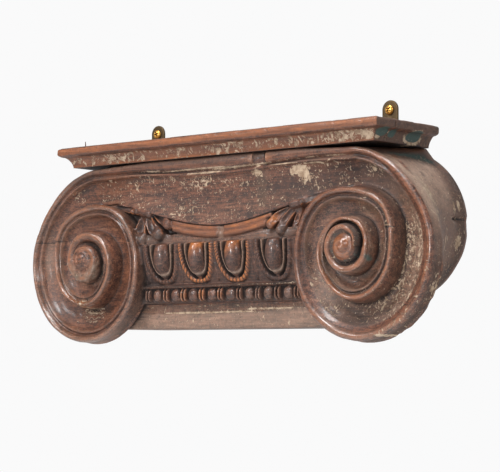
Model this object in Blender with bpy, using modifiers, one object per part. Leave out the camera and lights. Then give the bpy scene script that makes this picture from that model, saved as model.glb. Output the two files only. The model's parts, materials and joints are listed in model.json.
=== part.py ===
"""Carved wooden Ionic pilaster capital, hung flat against a wall.

Frame: +X along the capital, +Y into the wall, +Z up. The back plane is Y = 0
and the origin is the middle of the back face. Lengths are in metres.

The carved block is built from these shapes and united into one solid:
  - a front layer: canalis, top roll and the two stepped spiral volutes
  - a bolster behind each volute that narrows towards the wall
  - a centre block with the plain necking, the bead seat and the echinus
  - eggs, shells, darts, beads, reels, the swag roll and two half leaves
"""
import bpy
import bmesh
import math
from mathutils import Matrix

# ------------------------------------------------------------------ sizes
BASE = -0.100              # height of the volute bottoms, below the origin

ABACUS_LENGTH = 0.410
ABACUS_DEPTH = 0.099
ABACUS_TOP = 0.201         # above the volute bottoms
ABACUS_THICK = 0.0202
ABACUS_SEAM = 0.0705       # joint between its two boards, from the wall
GAP = 0.0003               # clearance between separate pieces

BODY_TOP = ABACUS_TOP - ABACUS_THICK - GAP
EYE_X = 0.1685             # volute eye from the centre line
EYE_Z = 0.0849             # volute eye above the volute bottoms

# rim radius from the eye at each eighth of a turn, from the top outwards
RIM_RADII = (0.0927, 0.0840, 0.0867, 0.0877, 0.0849, 0.0767, 0.0679, 0.0640,
             0.0548, 0.0537, 0.0474, 0.0492, 0.0482, 0.0404, 0.0361, 0.0312,
             0.0273, 0.0264, 0.0243, 0.0244, 0.0236, 0.0226, 0.0215, 0.0210,
             0.0197, 0.0165, 0.0135)
RIM_PROUD = 0.0850         # rim crest in front of the wall where it starts
RIM_STEP = 0.0062          # it steps this much further forward each turn
KNOB_R = 0.0122
KNOB_PROUD = 0.1075
SPIRAL_STEPS = 24          # sections in one turn
SPIRAL_TURNS = 3.25

# section across the channel: (share of the width, drop below the rim crest)
RIM_PROFILE = ((0.00, 0.0030), (0.05, 0.0007), (0.115, 0.0000),
               (0.185, 0.0011), (0.24, 0.0046), (0.30, 0.0031),
               (0.37, 0.0062), (0.56, 0.0108), (0.80, 0.0142), (1.00, 0.0154))
# the same section at the middle of the canalis
FIELD_PROFILE = ((0.00, 0.0036), (0.05, 0.0010), (0.115, 0.0000),
                 (0.185, 0.0011), (0.22, 0.0044), (0.26, 0.0034),
                 (0.33, 0.0062), (0.56, 0.0074), (0.82, 0.0056),
                 (1.00, 0.0038))
CHANNEL_WIDTH = 0.037      # width at which the drops are as stated
FOOT = 0.0024              # batter at the foot of each inner rim wall

SWAG_LOW = 0.1136          # canalis lower edge at the centre
SWAG_HIGH = 0.1412         # and where it meets the volutes
DISC_BACK = 0.0690         # the full volute outline reaches back to here
FLANK_STEP = 0.0100        # and the flank behind it steps in by this much
FRONT_BACK = 0.0560        # back of the front layer, inside the block

BOLSTER_X = 0.1665         # centre of the bolster end at the wall
BOLSTER_Z = 0.1070
BOLSTER_R = 0.0690

NECK_HALF = 0.1900         # half length of the neck under the abacus
NECK_FOOT = 0.2010         # and of its splayed foot
NECK_DEPTH = 0.0760
NECK_DROP = 0.0135         # height of the splay

BLOCK_HALF = 0.139         # half length of the board behind the ornament
ECHINUS_HALF = 0.112       # half length of the echinus and bead seat
BOARD_PROUD = 0.0655       # face of the plain board
BLOCK_BOTTOM = 0.0130
EGG_PITCH = 0.0477
EGG_COUNT = 4
BEAD_PITCH = EGG_PITCH / 2

PLATE_X = {"left": -0.1524, "right": 0.1498}   # hand-set, not quite even
PLATE_W = 0.0180
PLATE_T = 0.0020
PLATE_TOP = 0.0290         # above the abacus
PLATE_TAIL = 0.0150        # let into the back of the abacus
SCREW_UP = 0.0197          # screw centre above the abacus
SCREW_HEAD_R = 0.0047
SCREW_HEAD_H = 0.0030
SCREW_SHANK_R = 0.0020


def z_of(height):
    """Row height of a level measured from the volute bottoms."""
    return BASE + height


# ------------------------------------------------------------ scene set-up
for old in list(bpy.data.objects):
    bpy.data.objects.remove(old, do_unlink=True)
for old in list(bpy.data.collections):
    bpy.data.collections.remove(old)

part = bpy.data.collections.new("ionic_capital")
carving = bpy.data.collections.new("carving")      # united into the block
cutters = bpy.data.collections.new("cutters")      # cut out of the fittings
for group in (part, carving, cutters):
    bpy.context.scene.collection.children.link(group)


def material(name, color, rough, metal=0.0):
    mat = bpy.data.materials.new(name)
    mat.use_nodes = True
    bsdf = mat.node_tree.nodes["Principled BSDF"]
    bsdf.inputs["Base Color"].default_value = (*color, 1.0)
    bsdf.inputs["Roughness"].default_value = rough
    bsdf.inputs["Metallic"].default_value = metal
    return mat


WOOD_BODY = material("carved_wood", (0.105, 0.055, 0.040), 0.42)
WOOD_FRONT = material("abacus_front_wood", (0.190, 0.078, 0.040), 0.40)
WOOD_BACK = material("abacus_back_wood", (0.085, 0.062, 0.058), 0.60)
BRASS_PLATE = material("plate_brass", (0.150, 0.120, 0.080), 0.50, 0.8)
BRASS_SCREW = material("screw_brass", (0.480, 0.290, 0.090), 0.35, 0.9)
STEEL_NAIL = material("nail_steel", (0.110, 0.070, 0.050), 0.60, 0.7)


def add(name, mesh, mat=None, where=part):
    ob = bpy.data.objects.new(name, mesh)
    if mat is not None:
        ob.data.materials.clear()
        ob.data.materials.append(mat)
    where.objects.link(ob)
    return ob


def tool(name, mesh, where=None):
    ob = add(name, mesh, None, where or carving)
    ob.hide_render = True
    ob.display_type = 'WIRE'
    return ob


def shade(mesh, angle=35):
    mesh.shade_smooth()
    mesh.set_sharp_from_angle(angle=math.radians(angle))


def mesh_of(bm, name):
    bmesh.ops.recalc_face_normals(bm, faces=bm.faces)
    mesh = bpy.data.meshes.new(name)
    bm.to_mesh(mesh)
    bm.free()
    return mesh


def boolean(ob, other, operation, is_collection=False):
    mod = ob.modifiers.new(operation.lower(), 'BOOLEAN')
    mod.operation = operation
    mod.solver = 'EXACT'
    if is_collection:
        mod.operand_type = 'COLLECTION'
        mod.collection = other
    else:
        mod.object = other
    return mod


# --------------------------------------------------------- small helpers
def catmull(values, u):
    """Smooth curve through evenly spaced values."""
    n = len(values)
    i = max(0, min(n - 2, int(math.floor(u))))
    f = u - i
    p1, p2 = values[i], values[i + 1]
    p0 = values[i - 1] if i > 0 else 2 * p1 - p2
    p3 = values[i + 2] if i + 2 < n else 2 * p2 - p1
    return 0.5 * (2 * p1 + (p2 - p0) * f + (2 * p0 - 5 * p1 + 4 * p2 - p3) * f * f
                  + (3 * p1 - p0 - 3 * p2 + p3) * f ** 3)


def smooth(u):
    u = max(0.0, min(1.0, u))
    return u * u * (3 - 2 * u)


def rim_radius(turn):
    """Radius of the rim's outer edge after so many turns from the top."""
    if turn >= SPIRAL_TURNS:
        return KNOB_R
    r = catmull(RIM_RADII, turn * 8)
    return max(r, KNOB_R)


def rim_crest(turn):
    return RIM_PROUD + RIM_STEP * min(turn, SPIRAL_TURNS)


def swag(x):
    """Height of the lower edge of the canalis."""
    u = min(1.0, abs(x) / EYE_X)
    return SWAG_LOW + (SWAG_HIGH - SWAG_LOW) * 0.5 * (1 - math.cos(math.pi * u))


def polar(turn, radius):
    """Point around the right-hand eye, measured from the top outwards."""
    a = turn * 2 * math.pi
    return EYE_X + radius * math.sin(a), EYE_Z + radius * math.cos(a)


# -------------------------------------------- front layer, right-hand half
def front_layer():
    """Canalis and one stepped spiral as one surface, closed at the back."""
    bm = bmesh.new()
    rows = len(RIM_PROFILE)

    def vert(x, proud, h):
        return bm.verts.new((x, -proud, z_of(h)))

    # straight part, from the centre line to above the eye
    cols = 9
    field = []
    for i in range(cols):
        x = EYE_X * i / cols
        blend = smooth((x / EYE_X - 0.55) / 0.45)
        top = BODY_TOP - 0.0040 * smooth((x / EYE_X - 0.6) / 0.4)
        low = swag(x)
        column = []
        for (t0, d0), (t1, d1) in zip(FIELD_PROFILE, RIM_PROFILE):
            t = t0 + (t1 - t0) * blend
            d = d0 + (d1 - d0) * blend
            column.append(vert(x, RIM_PROUD - d, top + (low - top) * t))
        field.append(column)

    # spiral part
    count = int(SPIRAL_STEPS * SPIRAL_TURNS)
    spiral = []
    for i in range(count + 1):
        turn = i / SPIRAL_STEPS
        outer = rim_radius(turn)
        inner = rim_radius(turn + 1)
        width = outer - inner
        foot = min(FOOT, 0.3 * width)
        scale = min(1.0, max(0.0, width / CHANNEL_WIDTH)) ** 0.75
        column = []
        for t, d in RIM_PROFILE:
            r = outer + (inner + foot - outer) * t
            x, h = polar(turn, r)
            column.append(vert(x, rim_crest(turn) - d * scale, h))
        spiral.append(column)

    # knob in the eye
    rings = []
    for r, rise in ((1.0, 0.0), (0.92, 0.45), (0.68, 0.75), (0.36, 0.94)):
        ring = []
        for k in range(SPIRAL_STEPS):
            turn = k / SPIRAL_STEPS
            x, h = polar(turn, KNOB_R * r)
            base = rim_crest(SPIRAL_TURNS) - 0.0040
            ring.append(vert(x, base + (KNOB_PROUD - base) * rise, h))
        rings.append(ring)
    tip = vert(EYE_X, KNOB_PROUD, EYE_Z)

    columns = field + spiral
    for a, b in zip(columns, columns[1:]):
        for j in range(rows - 1):
            bm.faces.new((a[j], b[j], b[j + 1], a[j + 1]))
    # walls that rise from the channel to the next turn of the rim
    last = count - SPIRAL_STEPS
    for i in range(last):
        a, b = spiral[i], spiral[i + 1]
        c, d = spiral[i + SPIRAL_STEPS], spiral[i + 1 + SPIRAL_STEPS]
        bm.faces.new((a[-1], b[-1], d[0], c[0]))
    # last turn rises to the knob
    for i in range(last, count):
        a, b = spiral[i], spiral[i + 1]
        c = rings[0][i % SPIRAL_STEPS]
        d = rings[0][(i + 1) % SPIRAL_STEPS]
        if i == last:
            first_ring = c
        bm.faces.new((a[-1], b[-1], d, c))
    # close the end of the spiral against the knob
    end = spiral[count]
    start = spiral[last]
    ring_here = rings[0][count % SPIRAL_STEPS]
    loop = [start[-1]] + end + [ring_here]
    bm.faces.new(loop)
    for ra, rb in zip(rings, rings[1:]):
        for k in range(SPIRAL_STEPS):
            n = (k + 1) % SPIRAL_STEPS
            bm.faces.new((ra[k], ra[n], rb[n], rb[k]))
    for k in range(SPIRAL_STEPS):
        n = (k + 1) % SPIRAL_STEPS
        bm.faces.new((rings[-1][k], rings[-1][n], tip))

    # outline of the front, carried back; behind the disc the flank steps in
    outline = [c[0] for c in field] + [c[0] for c in spiral[:SPIRAL_STEPS + 1]]
    outline.append(spiral[0][-1])
    outline += [c[-1] for c in reversed(field)]
    levels = [outline]
    for proud, inset in ((DISC_BACK, 0.0), (FRONT_BACK, FLANK_STEP)):
        loop = []
        for k, v in enumerate(outline):
            turn = (k - len(field)) / SPIRAL_STEPS
            share = min(1.0, max(0.0, turn / 0.15)) \
                * min(1.0, max(0.0, (0.74 - turn) / 0.12))
            dx, dz = v.co.x - EYE_X, v.co.z - z_of(EYE_Z)
            cut = inset * share / math.hypot(dx, dz)
            loop.append(bm.verts.new((v.co.x - dx * cut, -proud,
                                      v.co.z - dz * cut)))
        levels.append(loop)
    for la, lb in zip(levels, levels[1:]):
        for k in range(len(outline) - 1):
            bm.faces.new((la[k], la[k + 1], lb[k + 1], lb[k]))
    bm.faces.new(levels[-1])
    return mesh_of(bm, "front_layer")


def mirrored(name, mesh):
    """A half that is open on the centre plane, with its mirror image."""
    ob = tool(name, mesh)
    mod = ob.modifiers.new("mirror", 'MIRROR')
    mod.use_axis = (True, False, False)
    mod.use_clip = True
    mod.merge_threshold = 0.00001
    return ob


# ------------------------------------------------------------- bolsters
def bolster():
    """Right half of the block behind the volutes, narrowing to the wall."""
    bm = bmesh.new()
    arc = 18
    levels = ((0.0705, 0.00), (0.0680, 0.12), (0.0640, 0.34), (0.0560, 0.55),
              (0.0400, 0.80), (0.0200, 0.95), (0.0000, 1.00))
    loops = []
    for proud, blend in levels:
        loop = []
        cx = EYE_X + (BOLSTER_X - EYE_X) * blend
        cz = EYE_Z + (BOLSTER_Z - EYE_Z) * blend
        loop.append((0.0, BODY_TOP))
        for k in range(arc + 1):
            turn = 0.75 * k / arc
            front = rim_radius(turn) - 0.0020
            r = front + (BOLSTER_R - front) * blend
            x = cx + r * math.sin(turn * 2 * math.pi)
            h = cz + r * math.cos(turn * 2 * math.pi)
            if turn < 0.25:
                h = cz + (h - cz) * (1 + (BODY_TOP - cz - r) / r
                                     * (1 - turn / 0.25) ** 2)
            loop.append((x, h))
        loop.append((0.0, cz))
        loops.append([bm.verts.new((x, -proud, z_of(h))) for x, h in loop])
    for la, lb in zip(loops, loops[1:]):
        for k in range(len(la) - 1):
            bm.faces.new((la[k], la[k + 1], lb[k + 1], lb[k]))
    bm.faces.new(loops[0])
    bm.faces.new(loops[-1])
    return mesh_of(bm, "bolster")


def neck():
    """Block between the bolsters and the abacus, with splayed ends."""
    bm = bmesh.new()
    low = BODY_TOP - NECK_DROP
    section = ((-NECK_HALF, BODY_TOP), (NECK_HALF, BODY_TOP),
               (NECK_FOOT, low), (NECK_HALF, low - 0.006),
               (-NECK_HALF, low - 0.006), (-NECK_FOOT, low))
    loops = [[bm.verts.new((x, -p, z_of(h))) for x, h in section]
             for p in (0.0, NECK_DEPTH)]
    for k in range(6):
        m = (k + 1) % 6
        bm.faces.new((loops[0][k], loops[0][m], loops[1][m], loops[1][k]))
    bm.faces.new(loops[0])
    bm.faces.new(loops[1])
    return mesh_of(bm, "neck")


# ---------------------------------------------------------- centre block
# (height, distance in front of the wall) from the bottom edge upwards
BLOCK_PROFILE = ((0.0380, 0.0640), (0.0385, 0.0700), (0.0405, 0.0735),
                  (0.0525, 0.0735), (0.0535, 0.0765),
                 (0.0560, 0.0765), (0.0570, 0.0720), (0.0620, 0.0738),
                 (0.0720, 0.0778), (0.0820, 0.0806), (0.0920, 0.0818),
                 (0.1000, 0.0822), (0.1005, 0.0720), (0.1380, 0.0720))


def echinus_proud(h):
    pts = [p for p in BLOCK_PROFILE if 0.0569 < p[0] < 0.1002]
    for (h0, p0), (h1, p1) in zip(pts, pts[1:]):
        if h <= h1:
            return p0 + (p1 - p0) * (h - h0) / (h1 - h0)
    return pts[-1][1]


def bar(name, section, half):
    """Straight moulding along X; the section is a list of (proud, height)."""
    bm = bmesh.new()
    loops = [[bm.verts.new((x, -p, z_of(h))) for p, h in section]
             for x in (-half, half)]
    n = len(section)
    for k in range(n):
        m = (k + 1) % n
        bm.faces.new((loops[0][k], loops[0][m], loops[1][m], loops[1][k]))
    bm.faces.new(loops[0])
    bm.faces.new(loops[1])
    return mesh_of(bm, name)


def board():
    top = BLOCK_PROFILE[-1][0]
    return bar("board", ((0.0, BLOCK_BOTTOM), (BOARD_PROUD - 0.0006, BLOCK_BOTTOM),
                         (BOARD_PROUD, BLOCK_BOTTOM + 0.0006),
                         (BOARD_PROUD, top), (0.0, top)), BLOCK_HALF)


def echinus():
    section = [(0.0600, 0.0380)] + [(p, h) for h, p in BLOCK_PROFILE]
    section.append((0.0600, BLOCK_PROFILE[-1][0]))
    return bar("echinus", section, ECHINUS_HALF)


# -------------------------------------------------------------- ornament
ALONG_X = Matrix.Rotation(math.pi / 2, 3, 'Y')


def tube(name, points, radii, resolution=1, flat=1.0):
    """Round rib through points given as (x, proud, height)."""
    curve = bpy.data.curves.new(name, 'CURVE')
    curve.dimensions = '3D'
    curve.bevel_depth = 1.0
    curve.bevel_resolution = resolution
    curve.use_fill_caps = True
    spline = curve.splines.new('POLY')
    spline.points.add(len(points) - 1)
    for p, (x, proud, h), r in zip(spline.points, points, radii):
        p.co = (x, -proud, z_of(h), 1.0)
        p.radius = r
    ob = bpy.data.objects.new(name, curve)
    carving.objects.link(ob)
    bpy.context.view_layer.update()
    deps = bpy.context.evaluated_depsgraph_get()
    mesh = bpy.data.meshes.new_from_object(ob.evaluated_get(deps))
    bpy.data.objects.remove(ob, do_unlink=True)
    bpy.data.curves.remove(curve)
    bm = bmesh.new()
    bm.from_mesh(mesh)
    bmesh.ops.remove_doubles(bm, verts=bm.verts, dist=0.00001)
    bpy.data.meshes.remove(mesh)
    return tool(name, mesh_of(bm, name))


def egg(name, x):
    bm = bmesh.new()
    bmesh.ops.create_uvsphere(bm, u_segments=12, v_segments=8, radius=1.0)
    bmesh.ops.scale(bm, vec=(0.0132, 0.0084, 0.0305), verts=bm.verts)
    bmesh.ops.translate(bm, vec=(x, -0.0775, z_of(0.0945)), verts=bm.verts)
    cut = bmesh.ops.bisect_plane(
        bm, geom=bm.verts[:] + bm.edges[:] + bm.faces[:], dist=1e-7,
        plane_co=(0, 0, z_of(0.0996)), plane_no=(0, 0, 1), clear_outer=True)
    edges = [e for e in cut["geom_cut"] if isinstance(e, bmesh.types.BMEdge)]
    bmesh.ops.edgeloop_fill(bm, edges=edges)
    return tool(name, mesh_of(bm, name))


def shell(name, x):
    points, radii = [], []
    steps = 9
    for k in range(steps + 1):
        a = math.pi * k / steps
        dx = -0.0192 * math.copysign(abs(math.cos(a)) ** 0.75, math.cos(a))
        h = 0.0990 - 0.0398 * math.sin(a) ** 0.8
        points.append((x + dx, echinus_proud(h) + 0.0014, h))
        radii.append(0.0021)
    return tube(name, points, radii, 1)


def dart(name, x):
    heights = (0.0988, 0.0760, 0.0680, 0.0585)
    radii = (0.0012, 0.0017, 0.0032, 0.0006)
    points = [(x, echinus_proud(h) + 0.0010, h) for h in heights]
    return tube(name, points, radii, 1)


def bead(name, x):
    bm = bmesh.new()
    bmesh.ops.create_uvsphere(bm, u_segments=8, v_segments=6, radius=1.0)
    bmesh.ops.rotate(bm, verts=bm.verts, cent=(0, 0, 0),
                     matrix=ALONG_X)
    bmesh.ops.scale(bm, vec=(0.0072, 0.0066, 0.0066), verts=bm.verts)
    bmesh.ops.translate(bm, vec=(x, -0.0738, z_of(0.0463)), verts=bm.verts)
    return tool(name, mesh_of(bm, name))


def reel(name, x):
    bm = bmesh.new()
    bmesh.ops.create_cone(bm, cap_ends=True, segments=8, radius1=0.0062,
                          radius2=0.0062, depth=0.0019)
    bmesh.ops.rotate(bm, verts=bm.verts, cent=(0, 0, 0),
                     matrix=ALONG_X)
    bmesh.ops.translate(bm, vec=(x, -0.0738, z_of(0.0463)), verts=bm.verts)
    return tool(name, mesh_of(bm, name))


# the half leaf that springs from each volute: (root, middle, tip), radius
LEAF_STEM = (((0.1540, 0.1395), (0.1290, 0.1370), (0.0990, 0.1245)), 0.0056)
LEAF_LOBES = ((((0.1010, 0.1265), (0.1060, 0.1120), (0.0990, 0.1020)), 0.0058),
              (((0.0960, 0.1265), (0.0950, 0.1140), (0.0893, 0.1065)), 0.0048),
              (((0.0915, 0.1265), (0.0850, 0.1160), (0.0780, 0.1062)), 0.0050),
              (((0.0880, 0.1260), (0.0800, 0.1220), (0.0745, 0.1150)), 0.0040),
              (((0.0850, 0.1250), (0.0740, 0.1250), (0.0650, 0.1150)), 0.0048))


def leaf_rib(name, path, radius, side, proud):
    """Rib that swells towards a rounded tip."""
    (x0, h0), (x1, h1), (x2, h2) = path
    points, radii = [], []
    for t, share in ((0.0, 0.60), (0.3, 0.66), (0.6, 0.88), (0.84, 1.00),
                     (1.0, 0.80), (1.1, 0.35)):
        x = x0 * (1 - t) ** 2 + 2 * x1 * t * (1 - t) + x2 * t * t
        h = h0 * (1 - t) ** 2 + 2 * h1 * t * (1 - t) + h2 * t * t
        points.append((side * x, proud - 0.0030 * (1 - t), h))
        radii.append(radius * share)
    return tube(name, points, radii, 1)


def swag_roll():
    points, radii = [], []
    steps = 12
    for k in range(steps + 1):
        x = -0.0640 + 0.1280 * k / steps
        points.append((x, 0.0750, swag(x) - 0.0066))
        radii.append(0.0066)
    return tube("swag_roll", points, radii, 1)


# ------------------------------------------------------ the carved block
body = add("capital_body", board(), WOOD_BODY)
tool("echinus", echinus())
mirrored("front_layer", front_layer())
mirrored("bolster", bolster())
tool("neck", neck())

for k in range(EGG_COUNT):
    x = (k - (EGG_COUNT - 1) / 2) * EGG_PITCH
    egg("egg_%d" % (k + 1), x)
    shell("shell_%d" % (k + 1), x)
for k in range(EGG_COUNT + 1):
    dart("dart_%d" % (k + 1), (k - EGG_COUNT / 2) * EGG_PITCH)
for k in range(2 * EGG_COUNT):
    bead("bead_%d" % (k + 1), (k - EGG_COUNT + 0.5) * BEAD_PITCH)
for k in range(2 * EGG_COUNT + 1):
    x = (k - EGG_COUNT) * BEAD_PITCH
    reel("reel_%da" % (k + 1), x - 0.0021)
    reel("reel_%db" % (k + 1), x + 0.0021)
swag_roll()
for side, word in ((-1, "left"), (1, "right")):
    path, radius = LEAF_STEM
    leaf_rib("leaf_stem_" + word, path, radius, side, 0.0765)
    for k, (path, radius) in enumerate(LEAF_LOBES):
        leaf_rib("leaf_%s_%d" % (word, k + 1), path, radius, side, 0.0775)

boolean(body, carving, 'UNION', is_collection=True)


# ---------------------------------------------------------------- abacus
# (height below the top, inset) down the moulded edge
ABACUS_PROFILE = ((0.0000, 0.0026), (0.0008, 0.0010), (0.0026, 0.0000),
                  (0.0062, 0.0000), (0.0082, 0.0010), (0.0092, 0.0028),
                  (0.0098, 0.0062), (0.0120, 0.0088), (0.0150, 0.0106),
                  (0.0180, 0.0118), (ABACUS_THICK, 0.0122))


def abacus_board(name, mat, back, front, moulded_front):
    bm = bmesh.new()
    loops = []
    for down, inset in ABACUS_PROFILE:
        half = ABACUS_LENGTH / 2 - inset
        near = front - inset if moulded_front else front
        h = z_of(ABACUS_TOP - down)
        loops.append([bm.verts.new(c) for c in
                      ((-half, -near, h), (half, -near, h),
                       (half, -back, h), (-half, -back, h))])
    for la, lb in zip(loops, loops[1:]):
        for k in range(4):
            m = (k + 1) % 4
            bm.faces.new((la[k], la[m], lb[m], lb[k]))
    bm.faces.new(loops[0])
    bm.faces.new(loops[-1])
    return add(name, mesh_of(bm, name), mat)


front_board = abacus_board("abacus_front_board", WOOD_FRONT,
                           ABACUS_SEAM + GAP / 2, ABACUS_DEPTH, True)
back_board = abacus_board("abacus_back_board", WOOD_BACK,
                          0.0, ABACUS_SEAM - GAP / 2, False)


# ------------------------------------------- hanger plates and their screws
def plate_outline(bm, x, grow, back, front, tail):
    """Round-topped strap, as a closed prism between two depths."""
    w = PLATE_W / 2 + grow
    top = ABACUS_TOP + PLATE_TOP + grow
    pts = [(x - w, ABACUS_TOP - tail - grow)]
    steps = 12
    for k in range(steps + 1):
        a = math.pi - math.pi * k / steps
        pts.append((x + w * math.cos(a), top - w + w * math.sin(a)))
    pts.append((x + w, ABACUS_TOP - tail - grow))
    loops = [[bm.verts.new((px, -p, z_of(h))) for px, h in pts]
             for p in (back, front)]
    n = len(pts)
    for k in range(n):
        m = (k + 1) % n
        bm.faces.new((loops[0][k], loops[0][m], loops[1][m], loops[1][k]))
    bm.faces.new(loops[0])
    bm.faces.new(loops[1])
    return bm


def disc(name, x, h, radius, back, front, segments=16):
    bm = bmesh.new()
    bmesh.ops.create_cone(bm, cap_ends=True, segments=segments, radius1=radius,
                          radius2=radius, depth=front - back)
    bmesh.ops.rotate(bm, verts=bm.verts, cent=(0, 0, 0),
                     matrix=Matrix.Rotation(math.pi / 2, 3, 'X'))
    bmesh.ops.translate(bm, verts=bm.verts,
                        vec=(x, -(front + back) / 2, z_of(h)))
    return tool(name, mesh_of(bm, name), cutters)


def hanger(word, x):
    h = ABACUS_TOP + SCREW_UP
    bm = plate_outline(bmesh.new(), x, 0.0, 0.0, PLATE_T, PLATE_TAIL)
    plate = add("hanger_plate_" + word, mesh_of(bm, "plate"), BRASS_PLATE)
    hole = disc("plate_hole_" + word, x, h, SCREW_SHANK_R + GAP, -0.001, 0.01)
    boolean(plate, hole, 'DIFFERENCE')

    pocket_bm = plate_outline(bmesh.new(), x, GAP, -0.001, PLATE_T + GAP,
                              PLATE_TAIL)
    pocket = tool("pocket_" + word, mesh_of(pocket_bm, "pocket"), cutters)
    boolean(back_board, pocket, 'DIFFERENCE')

    # screw: domed head with a cross recess, shank through the plate
    bm = bmesh.new()
    seat = PLATE_T + GAP
    profile = ((0.0, 0.0), (SCREW_SHANK_R, 0.0), (SCREW_SHANK_R, seat),
               (SCREW_HEAD_R, seat), (SCREW_HEAD_R, seat + 0.0008),
               (SCREW_HEAD_R * 0.86, seat + 0.0019),
               (SCREW_HEAD_R * 0.55, seat + 0.0027),
               (0.0, seat + SCREW_HEAD_H))
    segments = 16
    rings = []
    for r, p in profile:
        if r == 0.0:
            rings.append([bm.verts.new((x, -p, z_of(h)))])
        else:
            rings.append([bm.verts.new((
                x + r * math.cos(2 * math.pi * k / segments), -p,
                z_of(h) + r * math.sin(2 * math.pi * k / segments)))
                for k in range(segments)])
    for ra, rb in zip(rings, rings[1:]):
        for k in range(segments):
            n = (k + 1) % segments
            if len(ra) == 1:
                bm.faces.new((ra[0], rb[k], rb[n]))
            elif len(rb) == 1:
                bm.faces.new((ra[k], ra[n], rb[0]))
            else:
                bm.faces.new((ra[k], ra[n], rb[n], rb[k]))
    screw = add("hanger_screw_" + word, mesh_of(bm, "screw"), BRASS_SCREW)
    for j in range(2):
        bm = bmesh.new()
        bmesh.ops.create_cube(bm, size=1.0)
        bmesh.ops.scale(bm, vec=(0.0056, 0.0030, 0.0011), verts=bm.verts)
        bmesh.ops.rotate(bm, verts=bm.verts, cent=(0, 0, 0),
                         matrix=Matrix.Rotation(math.radians(20 + 90 * j), 3, 'Y'))
        bmesh.ops.translate(bm, verts=bm.verts,
                            vec=(x, -(seat + SCREW_HEAD_H), z_of(h)))
        slot = tool("slot_%s_%d" % (word, j + 1), mesh_of(bm, "slot"), cutters)
        boolean(screw, slot, 'DIFFERENCE')


for word, plate_x in PLATE_X.items():
    hanger(word, plate_x)

# ------------------------------------- bent pin left in the abacus's top
NAIL_X = -0.1690
NAIL_PROUD = 0.0930
NAIL_R = 0.0006
NAIL_UP = 0.0052
NAIL_DOWN = 0.0060


def pin_mesh(radius, low, high):
    bm = bmesh.new()
    bmesh.ops.create_cone(bm, cap_ends=True, segments=8, radius1=radius,
                          radius2=radius, depth=high - low)
    bmesh.ops.translate(bm, verts=bm.verts, vec=(
        NAIL_X, -NAIL_PROUD, z_of(ABACUS_TOP + (high + low) / 2)))
    return mesh_of(bm, "pin")


pin_hole = tool("pin_hole", pin_mesh(NAIL_R + GAP, -NAIL_DOWN - GAP, 0.003),
                cutters)
boolean(front_board, pin_hole, 'DIFFERENCE')
add("abacus_pin", pin_mesh(NAIL_R, -NAIL_DOWN, NAIL_UP), STEEL_NAIL)

for ob in part.objects:
    shade(ob.data)
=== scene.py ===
"""Looks of the carved wooden Ionic capital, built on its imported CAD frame."""
import json
import math

import bmesh
import bpy
import numpy as np
from mathutils import Matrix, Vector
from mathutils.bvhtree import BVHTree

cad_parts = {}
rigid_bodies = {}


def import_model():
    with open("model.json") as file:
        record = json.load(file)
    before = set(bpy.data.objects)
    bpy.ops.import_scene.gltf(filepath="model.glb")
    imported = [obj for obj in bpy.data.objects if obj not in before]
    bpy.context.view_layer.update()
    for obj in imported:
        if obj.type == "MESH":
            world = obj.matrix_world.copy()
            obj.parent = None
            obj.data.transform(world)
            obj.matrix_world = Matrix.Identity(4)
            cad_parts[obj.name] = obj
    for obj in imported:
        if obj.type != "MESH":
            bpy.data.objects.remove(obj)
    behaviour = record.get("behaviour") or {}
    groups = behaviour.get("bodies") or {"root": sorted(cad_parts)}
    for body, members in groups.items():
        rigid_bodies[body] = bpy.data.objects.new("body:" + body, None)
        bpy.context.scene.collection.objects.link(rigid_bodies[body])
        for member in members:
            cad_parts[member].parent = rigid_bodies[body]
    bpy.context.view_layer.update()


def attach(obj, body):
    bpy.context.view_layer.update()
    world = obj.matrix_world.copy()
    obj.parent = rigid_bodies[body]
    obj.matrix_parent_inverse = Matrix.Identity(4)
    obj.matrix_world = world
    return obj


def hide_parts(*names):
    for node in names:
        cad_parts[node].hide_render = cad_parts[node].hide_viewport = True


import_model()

# ------------------------------------------------------------------ sizes
BASE = -0.100              # height of the volute bottoms in the row frame
ABACUS_LENGTH = 0.410
ABACUS_DEPTH = 0.099
ABACUS_TOP = 0.201
ABACUS_THICK = 0.0202
ABACUS_SEAM = 0.0705
GAP = 0.0003
BODY_TOP = ABACUS_TOP - ABACUS_THICK - GAP
EYE_X = 0.1685
EYE_Z = 0.0849
RIM_RADII = (.0927, .0840, .0867, .0877, .0849, .0767, .0679, .0640,
             .0548, .0537, .0474, .0492, .0482, .0404, .0361, .0312,
             .0273, .0264, .0243, .0244, .0236, .0226, .0215, .0210,
             .0197, .0165, .0135)
RIM_LEFT = RIM_RADII[:16] + (.0272, .0240, .0214, .0214, .0222, .0206, .0180, .0146,
                            .0122, .0108, .0098)
RIM_PROUD = 0.0850
RIM_STEP = 0.0062
KNOB_R = 0.0122
KNOB_LEFT = 0.0088
KNOB_PROUD = 0.1075
STEPS = 168
TURNS = 3.25
CHANNEL_WIDTH = 0.037
FOOT = 0.0026
SWAG_LOW = 0.1136
SWAG_HIGH = 0.1421
DISC_BACK = 0.0690
FLANK_STEP = 0.0100
FRONT_BACK = 0.0560
BOLSTER_X = 0.1665
BOLSTER_Z = 0.1070
BOLSTER_R = 0.0690
NECK_HALF = 0.1900
NECK_FOOT = 0.2010
NECK_DEPTH = 0.0760
NECK_DROP = 0.0135
BLOCK_HALF = 0.139
BLOCK_BOTTOM = 0.0130
BOARD_PROUD = 0.0655
EGG_PITCH = 0.0477
BEAD_PITCH = EGG_PITCH / 2
PLATE_X = {"left": -0.1524, "right": 0.1498}
PLATE_W = 0.0180
PLATE_T = 0.0020
PLATE_TOP = 0.0290
PLATE_TAIL = 0.0150
SCREW_UP = 0.0197
SCREW_HEAD_R = 0.0047
SCREW_HEAD_H = 0.0030
SCREW_SHANK_R = 0.0020
NAIL_X = -0.1690
NAIL_PROUD = 0.0930

scene = bpy.context.scene
work = bpy.data.collections.new("work")
scene.collection.children.link(work)


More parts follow.
